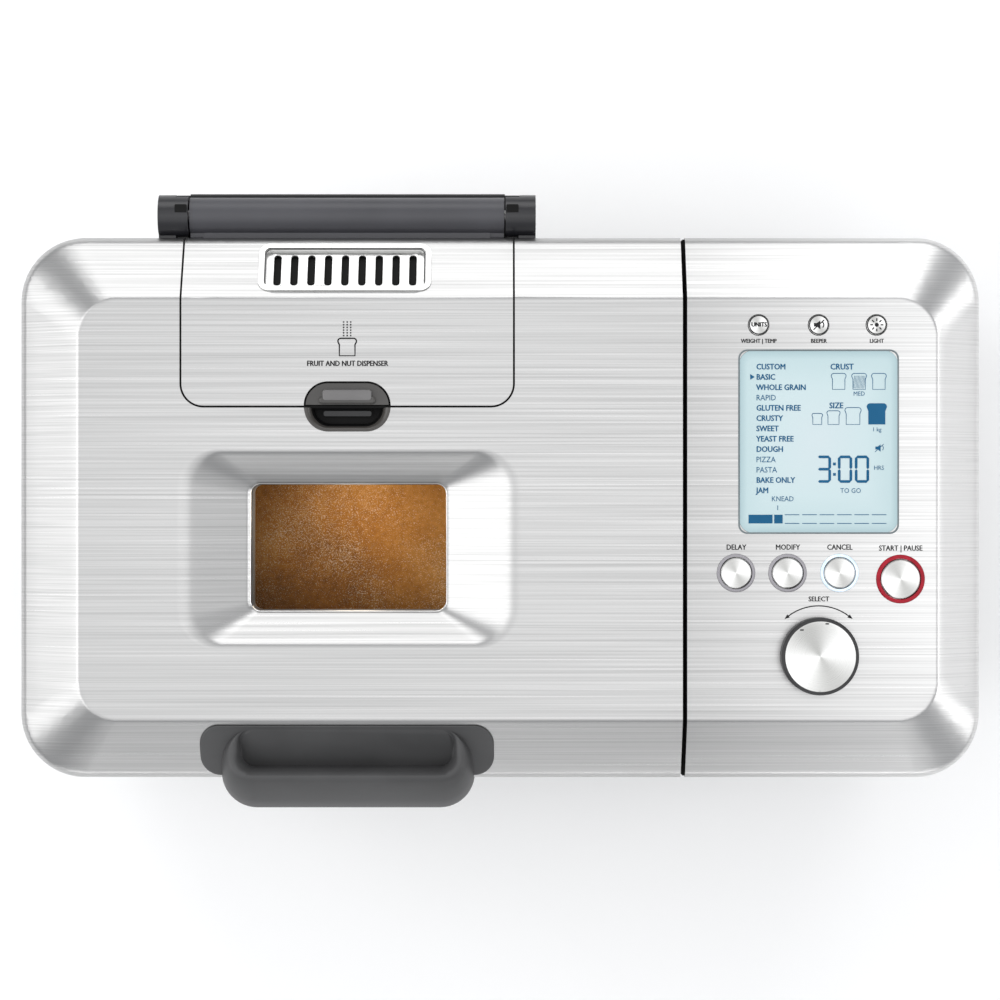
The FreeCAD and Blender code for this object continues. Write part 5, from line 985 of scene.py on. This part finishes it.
# print on the dispenser lid
sign = {"x": (flapLidLow.x + flapLidHigh.x) / 2, "captionY": 57.9 * mm, "sliceY": 65.0 * mm,
        "wide": 7.9 * mm, "tall": 7.4 * mm}
marks = [words("FRUIT AND NUT DISPENSER", sign["x"], sign["captionY"], topZ, 2.3 * mm, heavy=0.26 * mm,
               narrow=0.86),
         stroke(slicePoints(sign["x"], sign["sliceY"], sign["wide"], sign["tall"]), 0.62 * mm, topZ, True)]
for row in range(6):
    for column in (-1, 0, 1):
        place = (sign["x"] + column * 1.5 * mm, sign["sliceY"] + (4.9 + row * 1.15) * mm, topZ + 0.04 * mm)
        marks.append(disc("dot", place, 0.38 * mm, ink["thick"], 8))
finishPiece(joined("dispenserPrint", marks), panelInk, "dispenser_lid")
print("print done")


# baked loaf in the pan
loaf = {"sideGap": 9.0 * mm, "foot": 140.0 * mm, "shoulder": 240.0 * mm,
        "lifts": (6 * mm, 7 * mm, 6 * mm, 3 * mm)}


def crustFinish():
    material, tree, shader, where = startMaterial("crustFinish", (0.38, 0.19, 0.07), 0.75)
    broad = grain(tree, where, (18, 18, 18), 4.0)
    fine = grain(tree, where, (420, 420, 420), 5.0, rough=0.65)
    crumb = addUp(tree, broad, fine, 0.35)
    shader.inputs["Specular IOR Level"].default_value = 0.12
    brown = spread(tree, crumb, [(0.34, (0.15, 0.052, 0.008)), (0.5, (0.31, 0.125, 0.022)),
                                 (0.66, (0.47, 0.22, 0.055))])
    flour = grain(tree, where, (2000, 2000, 2000), 2.0, rough=0.6)
    drift = grain(tree, where, (26, 26, 26), 2.0)
    specks = spread(tree, addUp(tree, flour, drift, 0.3), [(0.55, (0, 0, 0)), (0.63, (0.6, 0.6, 0.6))])
    dusted = tree.nodes.new("ShaderNodeMix")
    dusted.data_type = "RGBA"
    dusted.inputs["B"].default_value = (0.74, 0.60, 0.42, 1)
    tree.links.new(specks, dusted.inputs["Factor"])
    tree.links.new(brown, dusted.inputs["A"])
    tree.links.new(dusted.outputs["Result"], shader.inputs["Base Color"])
    bumpFrom(tree, shader, addUp(tree, fine, flour, 0.4), 0.6, 0.0006)
    return material


loafObj = block("bakedLoaf", (panLow.x + loaf["sideGap"], panLow.y + loaf["sideGap"], loaf["foot"]),
                (panHigh.x - loaf["sideGap"], panHigh.y - loaf["sideGap"], loaf["shoulder"]))
selectIn(loafObj, "faces", lambda face: True)
bpy.ops.mesh.subdivide(number_cuts=7)
leaveEdit()
selectIn(loafObj, "faces", lambda face: face.normal.z > 0.9)
bpy.ops.mesh.select_more()
for lift in loaf["lifts"]:  # each row inwards is lifted a little more
    bpy.ops.transform.translate(value=(0, 0, lift))
    bpy.ops.mesh.select_less()
leaveEdit()
withModifier(loafObj, "SUBSURF", levels=2, render_levels=2)
lumps = bpy.data.textures.new("crustLumps", "CLOUDS")
lumps.noise_scale = 0.02
withModifier(loafObj, "DISPLACE", texture=lumps, texture_coords="LOCAL", strength=2.5 * mm)
smooth(loafObj, 60)
# painted light: the crust's colour is scaled from 0.78 to 1.62 times, lighter towards +X
crust = paintLightAlongX(crustFinish(), -0.112, -0.020, (0.78, 1.62))
finishPiece(loafObj, crust, "pan")
print("loaf baked")

# floor, light and camera
bpy.ops.object.select_all(action="DESELECT")
bpy.ops.mesh.primitive_plane_add(size=6, location=(0, 0, 0))
floorObj = named("paleFloor")
floorLook, tree, shader, where = startMaterial("paleFloor", (0.9, 0.9, 0.9), 0.8)
pale = spread(tree, grain(tree, where, (3, 3, 3)), [(0.3, (0.90, 0.90, 0.90)), (0.7, (0.92, 0.92, 0.92))])
tree.links.new(pale, shader.inputs["Base Color"])
floorObj.data.materials.append(floorLook)


def panelLight(name, place, aim, wide, tall, glow):
    lamp = bpy.data.lights.new(name, "AREA")
    lamp.shape = "RECTANGLE"
    lamp.size = wide
    lamp.size_y = tall
    lamp.energy = glow * math.pi * wide * tall
    obj = bpy.data.objects.new(name, lamp)
    obj.location = place
    obj.rotation_euler = (Vector(aim) - Vector(place)).to_track_quat("-Z", "Y").to_euler()
    bpy.context.scene.collection.objects.link(obj)
    return obj


target = (0, 0, 0.34)
panelLight("overhead", (0, 0, 2.7), target, 3.2, 3.2, 0.75)
panelLight("overPanel", (0.80, 0, 2.6), target, 0.55, 3.0, 0.80)
panelLight("leftPanel", (-2.1, 0, 1.75), target, 2.6, 2.2, 2.15)
panelLight("rearPanel", (0, 2.2, 1.35), target, 2.6, 1.3, 2.2)
panelLight("rightPanel", (2.2, 0, 0.95), target, 2.2, 0.8, 2.6)
panelLight("frontPanel", (0, -2.2, 1.25), target, 2.6, 1.0, 0.24)
panelLight("frontLow", (0, -2.2, 0.46), target, 2.6, 0.36, 2.5)

ovenLamp = bpy.data.lights.new("ovenLamp", "POINT")
ovenLamp.energy = 0.045
ovenLamp.color = (1.0, 0.86, 0.68)
ovenLamp.shadow_soft_size = 0.012
lampObj = bpy.data.objects.new("ovenLamp", ovenLamp)
lampObj.location = ((panLow.x + panHigh.x) / 2, (panLow.y + panHigh.y) / 2, 0.300)
bpy.context.scene.collection.objects.link(lampObj)

world = bpy.data.worlds.new("studio")
bpy.context.scene.world = world
world.use_nodes = True
world.node_tree.nodes["Background"].inputs["Color"].default_value = (0.62, 0.63, 0.65, 1)
world.node_tree.nodes["Background"].inputs["Strength"].default_value = 0.8

view = {"height": 1.745, "across": 0.425, "level": 0.345}
cameraData = bpy.data.cameras.new("topCamera")
cameraData.sensor_width = 36
cameraData.lens = 36 * (view["height"] - view["level"]) / view["across"]
cameraObj = bpy.data.objects.new("topCamera", cameraData)
cameraObj.location = (0, 0, view["height"])
bpy.context.scene.collection.objects.link(cameraObj)
bpy.context.scene.camera = cameraObj
bpy.context.scene.view_settings.view_transform = "Standard"
print("stage set")
